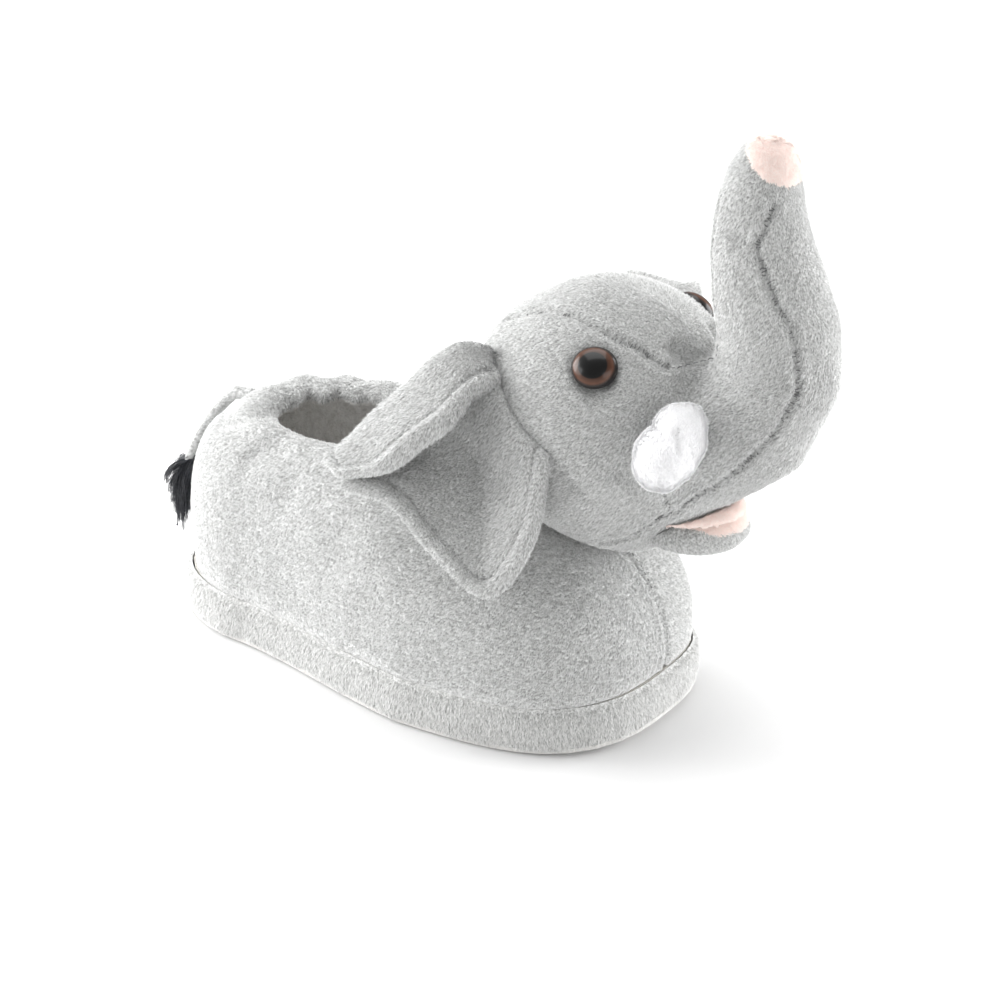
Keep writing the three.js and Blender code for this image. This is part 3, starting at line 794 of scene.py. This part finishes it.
thread_tree, start, end = new_tree("threads", {"Thread": "NodeSocketMaterial"})
drawn = step_of(thread_tree, "GeometryNodeMeshToCurve", [("Mesh", start.outputs["Geometry"])])
section = step_of(thread_tree, "GeometryNodeCurvePrimitiveCircle", [("Resolution", 4), ("Radius", 1.0)])
wrapped = step_of(
    thread_tree,
    "GeometryNodeCurveToMesh",
    [
        ("Curve", drawn.outputs["Curve"]),
        ("Profile Curve", section.outputs["Curve"]),
        ("Scale", named(thread_tree, "thick", "FLOAT")),
        ("Fill Caps", True),
    ],
)
coated(thread_tree, end, wrapped.outputs["Mesh"], start.outputs["Thread"])


def threaded(name, runs, material):
    """Round threads or hairs along runs of points; the fourth number of a point is the thread's radius there."""
    points = np.concatenate(runs)
    ends = np.cumsum([len(run) for run in runs])
    edges = [(i, i + 1) for i in range(len(points) - 1) if i + 1 not in ends]
    mesh = bpy.data.meshes.new(name)
    mesh.from_pydata((points[:, :3] * MM).tolist(), edges, [])
    thick = mesh.attributes.new("thick", "FLOAT", "POINT")
    thick.data.foreach_set("value", (points[:, 3] * MM).astype(np.float32))
    threads = grown(name, mesh, thread_tree, {"Thread": material})
    in_frame(threads)
    return threads


def stitches(piece, path, spacing=3.6, stitch=2.4, radius=0.24, sink=0.1):
    """Short sunk threads along a given line on the piece."""
    line, out = laid_on(piece, path, 0.4)
    line = line / MM
    run = np.concatenate([[0], np.cumsum(np.linalg.norm(np.diff(line, axis=0), axis=1))])
    runs = []
    for begin in np.arange(spacing / 2, run[-1] - stitch, spacing):
        places = begin + stitch * np.linspace(0, 1, 4)
        centre = np.stack([np.interp(places, run, line[:, i]) for i in range(3)], axis=1)
        normal = np.stack([np.interp(places, run, out[:, i]) for i in range(3)], axis=1)
        lift = np.array([-0.45, 0.2, 0.2, -0.45]) - sink
        runs.append(np.column_stack([centre + normal * lift[:, None], np.full(4, radius)]))
    return runs


seam_thread = plain_finish("seam_thread", 2600, [(0.35, (0.1, 0.1, 0.1)), (0.65, (0.22, 0.22, 0.22))], 0.7)


cloth_frames = 20


def plumped(piece, square, pressure, cap, held=None):
    """Stuffing pressure swells and creases a coarser copy, and the piece takes on that movement up to a cap."""
    coarse = linked(piece.name + "_coarse", piece.data.copy())
    changed(coarse, "REMESH", mode="VOXEL", voxel_size=square * MM)
    settled(coarse)
    rest = places_of(coarse)
    cloth = coarse.modifiers.new("cloth", "CLOTH")
    cloth_settings = {
        "quality": 4,
        "mass": 0.3,
        "use_pressure": True,
        "uniform_pressure_force": pressure,
        "tension_stiffness": 12,
        "compression_stiffness": 12,
        "bending_stiffness": 0.6,
    }
    for key, value in cloth_settings.items():
        setattr(cloth.settings, key, value)
    cloth.settings.effector_weights.gravity = 0
    cloth.point_cache.frame_start = 1
    cloth.point_cache.frame_end = cloth_frames
    if held is not None:
        pins = coarse.vertex_groups.new(name="pins")
        pins.add([int(i) for i in np.where(held(rest / MM))[0]], 1.0, "REPLACE")
        cloth.settings.vertex_group_mass = "pins"
    for number in range(1, cloth_frames + 1):
        scene.frame_set(number)
    settled(coarse)
    move = places_of(coarse) - rest
    length = np.linalg.norm(move, axis=1)
    limit = cap * MM
    move *= (limit * np.tanh(length / limit) / np.maximum(length, 1e-9))[:, None]
    scene.frame_set(1)
    polygons = [tuple(p.vertices) for p in coarse.data.polygons]
    tree = BVHTree.FromPolygons([tuple(v) for v in rest], polygons)
    co = places_of(piece)
    moved = np.zeros_like(co)
    for i, point in enumerate(co):
        hit = tree.find_nearest(Vector(point))
        corners = list(polygons[hit[2]])
        weights = 1 / (np.linalg.norm(rest[corners] - np.array(hit[0]), axis=1) + 1e-5)
        moved[i] = (move[corners] * weights[:, None]).sum(0) / weights.sum()
    put(piece, co + moved)
    bpy.data.objects.remove(coarse)


def sewn_down(place):
    return place[:, 2] < feather_height + 9


plumped(shell, 5, 3.0, 2.2, held=sewn_down)
co, normals = places_of(shell), normals_of(shell)
outside = ring_of < wall_rows
put(shell, co + normals * (0.5 * lumps(co, 0.055) * np.where(outside, 1, 0.2) * MM)[:, None])
# Each crease is given as depth, width, fade and path, and each seam as depth, width and path, in millimetres.
upper_creases = [
    (1.6, 4, 0.3, [(-122, -21, 102), (-105, -28, 111), (-90, -31, 116), (-79, -29, 119)]),
    (2.2, 6, 0.35, [(-86, -46, 99), (-76, -45, 105), (-65, -44, 112), (-47, -42, 118)]),
    (1.5, 5, 0.35, [(-112, 30, 96), (-96, 40, 94), (-80, 46, 92)]),
    (1.4, 8, 0.4, [(-30, -74, 60), (-12, -72, 72), (8, -66, 82)]),
]
upper_seams = [
    (1.9, 1.8, [(112, 0, 92), (122, 1, 84), (132, 1, 70), (139, 0, 56), (142, 1, 40), (142, 1, 29)]),
    (1.6, 1.6, [(-66, 31, 119), (-62, 34, 116), (-60, 41, 108), (-60, 50, 90)]),
]
upper_cover = np.where(ring_of < lined_from, 1.0, 0.0)
upper_cover[ring_of < 1] = 0.3
for deep, wide, fade, path in upper_creases:
    press(shell, path, deep, wide, fade=fade)
for deep, wide, path in upper_seams:
    upper_cover *= bare_beside(press(shell, path, deep, wide))
sewing = [run for _, _, path in upper_seams for run in stitches(shell, path)]
threaded("upper_sewing", sewing, seam_thread)
co = places_of(shell)
told(shell, "cover", upper_cover)
upper_nap = np.column_stack([-0.45 * np.ones(len(co)), 0.25 * np.sign(co[:, 1]), -0.85 * np.ones(len(co))])
told(shell, "nap", upper_nap)
in_frame(shell, node="upper")
pile("shell_pile", shell, 150000, 2.2, body_plush[1], seed=3)
lining_cover = np.where(ring_of >= lined_from - 1, 1.0, 0.0)
shell.data.attributes["cover"].data.foreach_set("value", lining_cover.astype(np.float32))
pile("lining_pile", shell, 28000, 1.1, lining_plush[1], lift=0.6, seed=4)

# Head: a firmly stuffed plush ball with the muzzle and the raised trunk in one sewn form: two side panels,
# a gusset over the forehead and up the trunk, and another under the trunk. It is sewn down on the toe.
def joined(name, *nodes):
    """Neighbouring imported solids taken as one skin."""
    whole = copied(name, nodes[0])
    shape = bmesh.new()
    shape.from_mesh(whole.data)
    for node in nodes[1:]:
        part = copied("part", node)
        shape.from_mesh(part.data)
        bpy.data.objects.remove(part)
    shape.to_mesh(whole.data)
    shape.free()
    return whole


def drawn_in(piece, depth):
    """Moves a skin in by the room that its pile takes."""
    put(piece, places_of(piece) - normals_of(piece) * depth * MM)


head_skin = remeshed(joined("head_skin", "head", "nostril_pad"), 3.0, rounds=7)
plumped(head_skin, 5, 3.0, 1.8)
co, normals = places_of(head_skin), normals_of(head_skin)
head_pile_room, jaw_drop, nape_fullness = 1.1, 6, 7
co += normals * ((0.45 * lumps(co, 0.05) - head_pile_room) * MM)[:, None]
x, y, z = (co / MM).T
jaw = np.exp(-(((x - 136) / 22) ** 2) - (y / 34) ** 2) * eased((132 - z) / 26)
co[:, 2] -= jaw_drop * jaw * MM
nape = np.exp(-(((x - 56) / 24) ** 2) - ((z - 190) / 24) ** 2)
co[:, 0] -= nape_fullness * nape * MM
put(head_skin, co)


def mirrored(points):
    return [(x, -y, z) for x, y, z in points]


gusset = [
    (62, -22, 200), (83, -27, 210), (102, -31, 213), (116, -34, 211), (130, -33, 208), (141, -30, 203),
    (150, -27, 197),
]
trunk_side = [
    (150, -27, 197), (160, -23, 205), (164, -20, 215), (163, -21, 228), (162, -18, 245), (163, -16, 262),
    (164, -14, 278),
]
trunk_under = [
    (160, -32, 128), (168, -30, 135), (178, -27, 143), (189, -28, 154), (198, -27, 165), (205, -24, 175),
    (211, -23, 187), (214, -20, 197), (212, -21, 216), (207, -21, 228), (201, -22, 237), (194, -22, 251),
    (190, -21, 259), (192, -18, 268), (194, -14, 278),
]
chin = [
    (120, -31, 102), (129, -34, 107), (136, -33, 110), (144, -33, 115), (149, -31, 119), (155, -33, 124),
    (160, -33, 128),
]
tusk_root = [(158, -40, 139), (159, -37, 134), (161, -33, 128)]
head_seams = [
    (1.8, 2.0, gusset),
    (1.2, 1.8, trunk_side),
    (2.1, 1.7, trunk_under),
    (2.0, 1.7, chin),
    (1.4, 1.4, tusk_root),
]
head_creases = [
    (3.4, 4.5, 0.3, [(146, -17, 207), (153, -16, 200), (160, -12, 194)]),
    (2.2, 4.0, 0.35, [(107, -61, 149), (117, -59, 143), (127, -55, 135)]),
    (2.4, 4.0, 0.35, [(140, -53, 157), (146, -48, 146), (153, -42, 137)]),
    (1.2, 4.0, 0.4, [(199, -26, 160), (203, -16, 158), (205, -4, 158)]),
    (1.4, 3.5, 0.4, [(190, -21, 262), (182, -24, 262), (174, -22, 266)]),
]
head_cover = np.ones(len(co))
for deep, wide, path in head_seams:
    for way in (path, mirrored(path)):
        head_cover *= bare_beside(press(head_skin, way, deep, wide))
for deep, wide, fade, path in head_creases:
    for way in (path, mirrored(path)):
        press(head_skin, way, deep, wide, fade=fade)
co, normals = places_of(head_skin), normals_of(head_skin)
x, y, z = (co / MM).T
trunk_part = eased((z - 195) / 30) * (x > 140)
head_nap = np.column_stack([-0.6 + 0.4 * trunk_part, 0.25 * np.sign(y) * (1 - trunk_part), -0.5 - 0.5 * trunk_part])


shell_tree = tree_of(shell)
head_cover[[shell_tree.find_nearest(Vector(v))[3] < 2.5 * MM for v in co]] = 0


def on_pad(co):
    """How far a point lies inside the pink pad's outline, in millimetres."""
    x, y, z = (co / MM).T
    return ((x - 201) + 1.9 * (z - 282)) / 2.15 + 0.0044 * y**2 - 0.2 * np.maximum(0, 188 - x)


head_cover[on_pad(co) > 1] = 0
ways = [way for _, _, path in head_seams for way in (path, mirrored(path))]
sewing = [run for way in ways for run in stitches(head_skin, way)]
threaded("head_sewing", sewing, seam_thread)
told(head_skin, "cover", head_cover)
told(head_skin, "nap", head_nap)
# Painted shade: the head and the lip take a darker copy of the body's grey plush, standing in for the shade on the
# face.
shaded_face_plush = plush_finish("shaded_face_plush", (0.28, 0.283, 0.277), (0.74, 0.745, 0.738), stretch=(2.6, 1, 1), tilt=-0.8)
head_skin.data.materials.append(shaded_face_plush[0])
in_frame(head_skin, node="head")
pile("head_pile", head_skin, 148000, 2.1, shaded_face_plush[1], seed=5)

# Mouth and nostril pad: a small stuffed lower lip of grey plush faced with pink, a pink lining between it and the
# trunk, and a pink pad sewn over the end of the trunk.
pink_plush = plush_finish("pink_plush", (0.96, 0.78, 0.72), (1.0, 0.9, 0.85), stretch=(1, 1, 1.5), parting_shade_share=0.3)


def stuffed(name, node, square, rounds=5, inset=0.8):
    """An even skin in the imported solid's place, with room left for its pile."""
    skin = remeshed(copied(name, node), square, rounds=rounds)
    drawn_in(skin, inset)
    return skin


def dressed(skin, finish, hairs, hair_length, way, seed, cover=None, node=None):
    """One small padded piece is given its fabric, its place in the frame and its pile."""
    count = len(skin.data.vertices)
    told(skin, "cover", np.ones(count) if cover is None else cover)
    told(skin, "nap", np.tile(np.array(way, float), (count, 1)))
    skin.data.materials.append(finish[0])
    in_frame(skin, node=node)
    pile(skin.name + "_pile", skin, hairs, hair_length, finish[1], seed=seed)


def patched(name, under, inside, lift):
    """A patch sewn over part of a skin; inside says how far a point lies within its outline, in millimetres."""
    patch = linked(name, under.data.copy())
    patch.data.materials.clear()
    forget_pile(patch)
    share = inside(places_of(patch))
    shape = bmesh.new()
    shape.from_mesh(patch.data)
    bmesh.ops.delete(shape, geom=[v for v in shape.verts if share[v.index] < 0], context="VERTS")
    rims = [v for v in shape.verts if v.is_boundary and sum(e.is_boundary for e in v.link_edges) == 2]
    for _ in range(8):
        middles = [sum((e.other_vert(v).co for e in v.link_edges if e.is_boundary), Vector()) / 2 for v in rims]
        for v, middle in zip(rims, middles):
            v.co = v.co.lerp(middle, 0.5)
    shape.to_mesh(patch.data)
    shape.free()
    patch.data.update()
    co, normals = places_of(patch), normals_of(patch)
    height = lift * eased(inside(co) / 5) - 0.2
    put(patch, co + normals * (height * MM)[:, None])
    changed(patch, "SOLIDIFY", thickness=1.4 * MM, offset=-1)
    settled(patch)
    return patch


def on_outside(patch, under):
    """One where a point of the patch lies above the skin under it, and none on its hidden back."""
    tree = tree_of(under)
    found = [(Vector(v), tree.find_nearest(Vector(v))) for v in places_of(patch)]
    return np.array([1.0 if (v - hit[0]).dot(hit[1]) > -0.5 * MM else 0.0 for v, hit in found])


def in_lip_face(co):
    x, y, z = (co / MM).T
    return z - 112.5 - 0.1 * np.maximum(0, np.abs(y) - 14) ** 2


lip = stuffed("lip", "lower_lip", 1.8)
lip_face = patched("lip_face", lip, in_lip_face, 0.7)
below_face = (in_lip_face(places_of(lip)) < 0.5).astype(float)
dressed(lip, shaded_face_plush, 6500, 2.0, (0.4, 0, -0.8), 6, cover=below_face, node="lower_lip")
dressed(lip_face, pink_plush, 9000, 1.3, (0.3, 0, -0.9), 21, cover=on_outside(lip_face, lip))
mouth = stuffed("mouth", "mouth_lining", 1.6, inset=0.4)
dressed(mouth, pink_plush, 6000, 1.3, (0.8, 0, -0.3), 7, node="mouth_lining")
trunk_tip = patched("trunk_tip", head_skin, on_pad, 1.0)
tip_cover = on_outside(trunk_tip, head_skin)
dressed(trunk_tip, pink_plush, 13000, 1.5, (0.1, 0, -1), 8, cover=tip_cover, node="nostril_pad")

# Tusks: two short fat tusks of white plush, stuffed hard and sewn in at the corners of the mouth. Their broad
# side shows a waist behind, and a stitch through each draws in a small dimple.
white_plush = plush_finish("white_plush", (0.86, 0.86, 0.87), (0.98, 0.98, 0.985), parting_shade_share=0.3)
tusk_across, tusk_upward = np.array([0.829, 0.559, 0.0]), np.array([-0.236, 0.351, 0.906])
tusk_shift = np.array([-2.6, -1.3])
# The outline of a tusk's broad side, as degrees round its middle and millimetres from it.
tusk_outline = [
    (-140, 18.2), (-120, 19.4), (-106, 18.7), (-96, 19.2), (-68, 15.8), (-26, 15.6), (-12, 16.1), (22, 17.9), (39, 21),
    (58, 23.9), (68, 22.6), (88, 20.6), (97, 18.6), (122, 12.4), (149, 13.2), (167, 14.8), (195, 16.3),
]
tusk_dimple = [(174, -58, 186), (177, -63, 179), (179, -66, 172)]
sewing = []
for side_name, side, seed in (("right", -1, 9), ("left", 1, 10)):
    ivory = stuffed(f"ivory_{side_name}", f"tusk_{side_name}", 2.0, inset=0.0)
    co = places_of(ivory) / MM * np.array([1, -side, 1])
    flat = np.stack([co @ tusk_across, co @ tusk_upward], axis=1)
    middle, reach = (flat.min(0) + flat.max(0)) / 2, (flat.max(0) - flat.min(0)) / 2
    from_middle = flat - middle
    turn = np.arctan2(from_middle[:, 1], from_middle[:, 0])
    round_reach = 1 / np.sqrt((np.cos(turn) / reach[0]) ** 2 + (np.sin(turn) / reach[1]) ** 2)
    angles, radii = zip(*tusk_outline)
    drawn_reach = np.interp(np.degrees(turn), angles, radii, period=360)
    move = from_middle * (drawn_reach / round_reach - 1)[:, None] + tusk_shift
    co += move[:, :1] * tusk_across + move[:, 1:] * tusk_upward
    put(ivory, co * np.array([1, -side, 1]) * MM)
    changed(ivory, "SMOOTH", factor=0.5, iterations=4)
    settled(ivory)
    path = tusk_dimple if side < 0 else mirrored(tusk_dimple)
    press(ivory, path, 1.3, 2.0, fade=0.3)
    dressed(ivory, white_plush, 11000, 1.8, (0.3, 0.8 * side, -0.4), seed, node=f"tusk_{side_name}")
    sewing += stitches(ivory, path, spacing=3.4, stitch=2.0, radius=0.2, sink=0.25)
white_thread = plain_finish("white_thread", 2600, [(0.35, (0.5, 0.5, 0.5)), (0.65, (0.66, 0.66, 0.66))], 0.7)
threaded("tusk_sewing", sewing, white_thread)

# Ears: two layers of plush sewn together and turned, each folded along its top and left to hang from the
# head. Topstitching runs a finger's width inside the free edge and leaves a soft round margin.
ear_length, ear_drop, ear_flare = 66, 110, 38
ear_root = np.array([66, 54, 196])
ear_half, ear_rounding, ear_margin = 3.0, 3.2, 9.0
edge_puff, flap_puff, margin_groove, ear_wave = 0.7, 1.6, 2.1, 0.5
ear_along, ear_across, root_rows = 88, 104, 30
# Four lines run from the head to the ear's back tip. Each point is given as shares back, down and out.
ear_rows = {
    "hem": [
        (-0.68, 0.38, 0.26), (-0.67, 0.73, 0.58), (-0.39, 0.99, 0.79),
        (0.06, 0.85, 0.84), (0.41, 0.67, 0.87), (0.83, 0.66, 0.84),
    ],
    "mid": [
        (-0.35, 0.264, 0.105), (-0.16, 0.39, 0.04), (0.0, 0.45, -0.06),
        (0.2, 0.46, 0.08), (0.47, 0.53, 0.36), (0.87, 0.62, 0.76),
    ],
    "fold": [
        (0.14, 0.0, -0.16), (0.26, 0.07, 0.04), (0.46, 0.21, 0.26),
        (0.65, 0.34, 0.47), (0.82, 0.47, 0.63), (1, 0.58, 0.74),
    ],
    "flap": [
        (-0.12, 0.164, -0.05), (-0.1, 0.17, 0.4), (-0.04, 0.25, 0.74),
        (0.14, 0.35, 0.9), (0.38, 0.49, 0.95), (0.8, 0.6, 0.88),
    ],
}
left_ear_swing, left_ear_shift = math.radians(34), np.array([27, -3, 7])
left_ear_droop = 0.4


def rope(knots, count):
    """A smooth line through its knots, with even shares between them."""
    knots = np.asarray(knots, float)
    full = np.vstack([2 * knots[0] - knots[1], knots, 2 * knots[-1] - knots[-2]])
    line = []
    for place in np.linspace(0, len(knots) - 1, count):
        i = min(int(place), len(knots) - 2)
        a, b, c, d = full[i : i + 4]
        first, middle, last = (np.sqrt(np.linalg.norm(q - p)) for p, q in ((a, b), (b, c), (c, d)))
        leaves = ((b - a) / first - (c - a) / (first + middle) + (c - b) / middle) * middle
        arrives = ((c - b) / middle - (d - b) / (middle + last) + (d - c) / last) * middle
        s = place - i
        bend, twist = 3 * (c - b) - 2 * leaves - arrives, 2 * (b - c) + leaves + arrives
        line.append(b + leaves * s + bend * s**2 + twist * s**3)
    return np.array(line)


def swung(points, swing, shift):
    """The ear turned about the line along which it is sewn to the head, and moved."""
    back, down, out = np.array(ear_rows["hem"][0]) * (ear_length, ear_drop, ear_flare)
    hinge = Vector((-back, out, -down)).normalized()
    turn = Quaternion(hinge, swing)
    return np.array([list(turn @ Vector(p - ear_root)) for p in points]) + ear_root + shift


def sealed(mesh):
    """The mesh with its doubled points merged and its faces turned outwards and smooth."""
    shape = bmesh.new()
    shape.from_mesh(mesh)
    bmesh.ops.remove_doubles(shape, verts=shape.verts, dist=1e-6)
    bmesh.ops.recalc_face_normals(shape, faces=shape.faces)
    shape.to_mesh(mesh)
    shape.free()
    mesh.polygons.foreach_set("use_smooth", np.ones(len(mesh.polygons), bool))


def outside_of(tree, co):
    """How far each point lies outside a skin, in metres."""
    found = [tree.find_nearest(Vector(v)) for v in co]
    return np.array([(Vector(v) - hit[0]).dot(hit[1]) for v, hit in zip(co, found)]), found


def ear_sheet(side, swing, shift, droop):
    """The middle of the ear's two layers, from the head's surface to its back tip and from hem to flap."""
    strips = []
    for row in ear_rows.values():
        back, down, out = (np.array(row) * (ear_length, ear_drop, ear_flare)).T
        places = swung(ear_root + np.column_stack([-back, out, -down]), swing, shift)
        strips.append(rope(places, ear_along))
    sheet = np.array([rope([strip[row] for strip in strips], ear_across) for row in range(ear_along)])
    sheet[..., 1] *= side
    sheet[..., 2] += droop * np.minimum(0, sheet[..., 0] - sheet[0, :, 0])
    buried = outside_of(head_tree, sheet[:root_rows].reshape(-1, 3) * MM)[0]
    buried = buried.reshape(root_rows, ear_across) < 0.2 * MM
    first = np.array([column.nonzero()[0].max() + 1 if column.any() else 0 for column in buried.T], float)
    first = np.convolve(np.pad(first, 4, mode="edge"), np.ones(9) / 9, mode="valid")
    rows = np.arange(ear_along)
    for i in range(ear_across):
        wanted = first[i] + (ear_along - 1 - first[i]) * rows / (ear_along - 1)
        sheet[:, i] = np.stack([np.interp(wanted, rows, sheet[:, i, k]) for k in range(3)], axis=1)
    seat = np.array([list(head_tree.find_nearest(Vector(v))[0]) for v in sheet[0] * MM]) / MM
    pull = np.maximum(0, 1 - rows / 10)[:, None, None] ** 2
    return sheet + (seat - sheet[0])[None] * pull


head_tree = tree_of(head_skin)
ear_plush = plush_finish("ear_plush", grey_deep, grey_pale, stretch=(1, 1, 2.4), tilt=0.7)
for side_name, side, swing, shift, droop, seed in (
    ("right", -1, 0.0, np.zeros(3), 0, 11),
    ("left", 1, left_ear_swing, left_ear_shift, left_ear_droop, 12),
):
    sheet = ear_sheet(side, swing, shift, droop)
    ways = np.gradient(sheet, axis=0)
    out = np.cross(ways, np.gradient(sheet, axis=1))
    out /= np.linalg.norm(out, axis=2, keepdims=True)
    along = np.cumsum(np.linalg.norm(np.diff(sheet, axis=0, prepend=sheet[:1]), axis=2), axis=0)
    across = np.cumsum(np.linalg.norm(np.diff(sheet, axis=1, prepend=sheet[:, :1]), axis=2), axis=1)
    from_hem, from_flap, from_tip = across, across[:, -1:] - across, along[-1:] - along
    from_free = np.minimum(np.minimum(from_hem, from_flap), from_tip + 1.5)
    edge = np.clip(np.minimum(np.minimum(from_hem, from_flap), np.minimum(from_tip, along)) / ear_rounding, 0, 1)
    plump = ear_half + edge_puff * np.exp(-(((from_free - ear_margin / 2) / 3) ** 2))
    plump = plump + flap_puff * np.exp(-(((from_flap - ear_margin / 2) / 3.5) ** 2))
    plump = plump - margin_groove * np.exp(-(((from_free - ear_margin) / 1.2) ** 2))
    plump = plump + ear_wave * lumps(sheet.reshape(-1, 3) * MM, 0.03).reshape(plump.shape)
    half = plump * np.sqrt(1 - (1 - edge) ** 2)
    puff = out * half[..., None]
    layers = np.concatenate([(sheet + puff).reshape(-1, 3), (sheet - puff).reshape(-1, 3)])
    gaps, found = outside_of(shell_tree, layers * MM)
    lie = np.repeat([1.6, 1.0], len(layers) // 2) * MM
    for i in np.where(gaps < lie)[0]:
        layers[i] = np.array(found[i][0] + found[i][1] * lie[i]) / MM
    row, column = np.meshgrid(np.arange(ear_along - 1), np.arange(ear_across - 1), indexing="ij")
    corner = (row * ear_across + column).ravel()
    quads = np.stack([corner, corner + 1, corner + ear_across + 1, corner + ear_across], axis=1)
    count = ear_along * ear_across
    mesh = bpy.data.meshes.new(f"ear_skin_{side_name}")
    mesh.from_pydata((layers * MM).tolist(), [], np.concatenate([quads, quads[:, ::-1] + count]).tolist())
    ear = linked(f"ear_skin_{side_name}", mesh)
    groove = np.exp(-(((from_free - ear_margin) / 0.9) ** 2))
    told(ear, "cover", np.tile((1 - 0.85 * groove).ravel(), 2))
    lengthwise = ways / np.linalg.norm(ways, axis=2, keepdims=True)
    told(ear, "nap", np.tile((0.6 * lengthwise + np.array([0, 0, -0.7])).reshape(-1, 3), (2, 1)))
    sealed(mesh)
    mesh.materials.append(ear_plush[0])
    in_frame(ear, node=f"ear_{side_name}")
    pile(f"ear_skin_{side_name}_pile", ear, 54000, 2.5, ear_plush[1], lift=0.6, seed=seed)

# Eyes: moulded plastic domes with a painted pupil and iris behind the clear face, pressed into the plush and
# held by a washer inside the head.
skull_centre = Vector((108, 0, 157))
skull_size = Vector((128, 124, 132))
eye_diameter, eye_bulge, eye_height_share = 21.5, 7.5, 0.9
eye_forward, eye_out, eye_up = 124, 46.5, 196.5
eye_rings, eye_spokes = 22, 64

eye_values = {"Roughness": 0.35, "Specular IOR Level": 0.2, "Coat Weight": 0.25, "Coat Roughness": 0.04}
eye_finish, tree, surface = wired("eye_plastic", eye_values)
from_middle = step_of(tree, "ShaderNodeAttribute", attribute_name="from_middle").outputs["Fac"]
iris_stops = [
    (0.0, (0.002, 0.002, 0.002)),
    (0.6, (0.002, 0.002, 0.002)),
    (0.66, (0.045, 0.018, 0.009)),
    (0.84, (0.085, 0.032, 0.016)),
    (0.92, (0.012, 0.008, 0.006)),
    (1.0, (0.004, 0.004, 0.004)),
]
tree.links.new(toned(tree, from_middle, iris_stops), surface.inputs["Base Color"])

for side_name, side in (("right", -1), ("left", 1)):
    centre = Vector((eye_forward, side * eye_out, eye_up))
    outward = centre - skull_centre
    outward = Vector([o / s**2 for o, s in zip(outward, skull_size)]).normalized()
    turn = Vector((0, 0, 1)).rotation_difference(outward)
    points, shares = [], []
    for ring in range(eye_rings):
        angle = ring / (eye_rings - 1) * math.pi
        for spoke in range(eye_spokes):
            around = spoke / eye_spokes * 2 * math.pi
            radius = eye_diameter / 2 * math.sin(angle)
            place = Vector((radius * math.cos(around), radius * math.sin(around), eye_bulge * math.cos(angle)))
            place = turn @ place
            place.z *= eye_height_share
            points.append((centre + place) * MM)
            shares.append(math.sin(angle) if angle < math.pi / 2 else 1)
    mesh = bpy.data.meshes.new(f"button_{side_name}")
    faces = []
    for ring in range(eye_rings - 1):
        for spoke in range(eye_spokes):
            beside = (spoke + 1) % eye_spokes
            a, b = ring * eye_spokes + spoke, ring * eye_spokes + beside
            faces.append((a, a + eye_spokes, b + eye_spokes, b))
    mesh.from_pydata(points, [], faces)
    button = linked(f"button_{side_name}", mesh, eye_finish)
    told(button, "from_middle", np.array(shares))
    sealed(mesh)
    in_frame(button, node=f"eye_{side_name}")

# Tail: a narrow tube of plush, sewn in at the back of the collar and lying down over the heel. A tuft of black
# hair in curved locks is sewn into its end.
tail_tube = stuffed("tail_tube", "tail", 1.4, rounds=3, inset=0.5)
co = places_of(tail_tube)
co[:, 2] -= 5 * eased((co[:, 0] / MM + 128) / 14) * MM
put(tail_tube, co)
dressed(tail_tube, body_plush, 9000, 1.5, (-0.5, 0, -1), 13, node="tail")

hair_tones = [(0.3, (0.006, 0.007, 0.01)), (0.7, (0.02, 0.023, 0.032))]
black_hair = plain_finish("black_hair", 500, hair_tones, 0.45)
tuft = remeshed(copied("tuft", "tassel"), 1.2, rounds=2)
drawn_in(tuft, 0.8)
tuft.data.materials.append(black_hair)
in_frame(tuft, node="tassel")
tuft_root = np.array([-150.5, 4.5, 66])
lock_count, lock_hairs, hair_radius, lock_turn, lock_fan = 34, 26, 0.2, 214, 190
chance = np.random.default_rng(31)
hairs = []
for lock in range(lock_count):
    around = math.radians(lock_turn + lock_fan * (lock / (lock_count - 1) - 0.5))
    low = (lock * 13) % lock_count / (lock_count - 1)
    spread, drop = 17 - 6 * low + chance.normal(0, 1), 9 + 28 * low
    way = np.array([math.cos(around), math.sin(around), 0])
    tip = tuft_root + way * spread - np.array([0, 0, drop])
    bend = tuft_root + way * spread * 0.95 + np.array([0, 0, 7 - drop * 0.5])
    for _ in range(lock_hairs):
        loose = chance.normal(0, 1, (3, 3))
        a, b, c = tuft_root + loose[0] * 1.6, bend + loose[1] * 1.7, tip + loose[2] * 0.7
        t = np.linspace(0, 1, 6)[:, None]
        run = a * (1 - t) ** 2 + 2 * b * t * (1 - t) + c * t**2
        hairs.append(np.column_stack([run, hair_radius * (1 - 0.8 * t[:, 0] ** 2)]))
threaded("tuft_hairs", hairs, black_hair)

low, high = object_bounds()
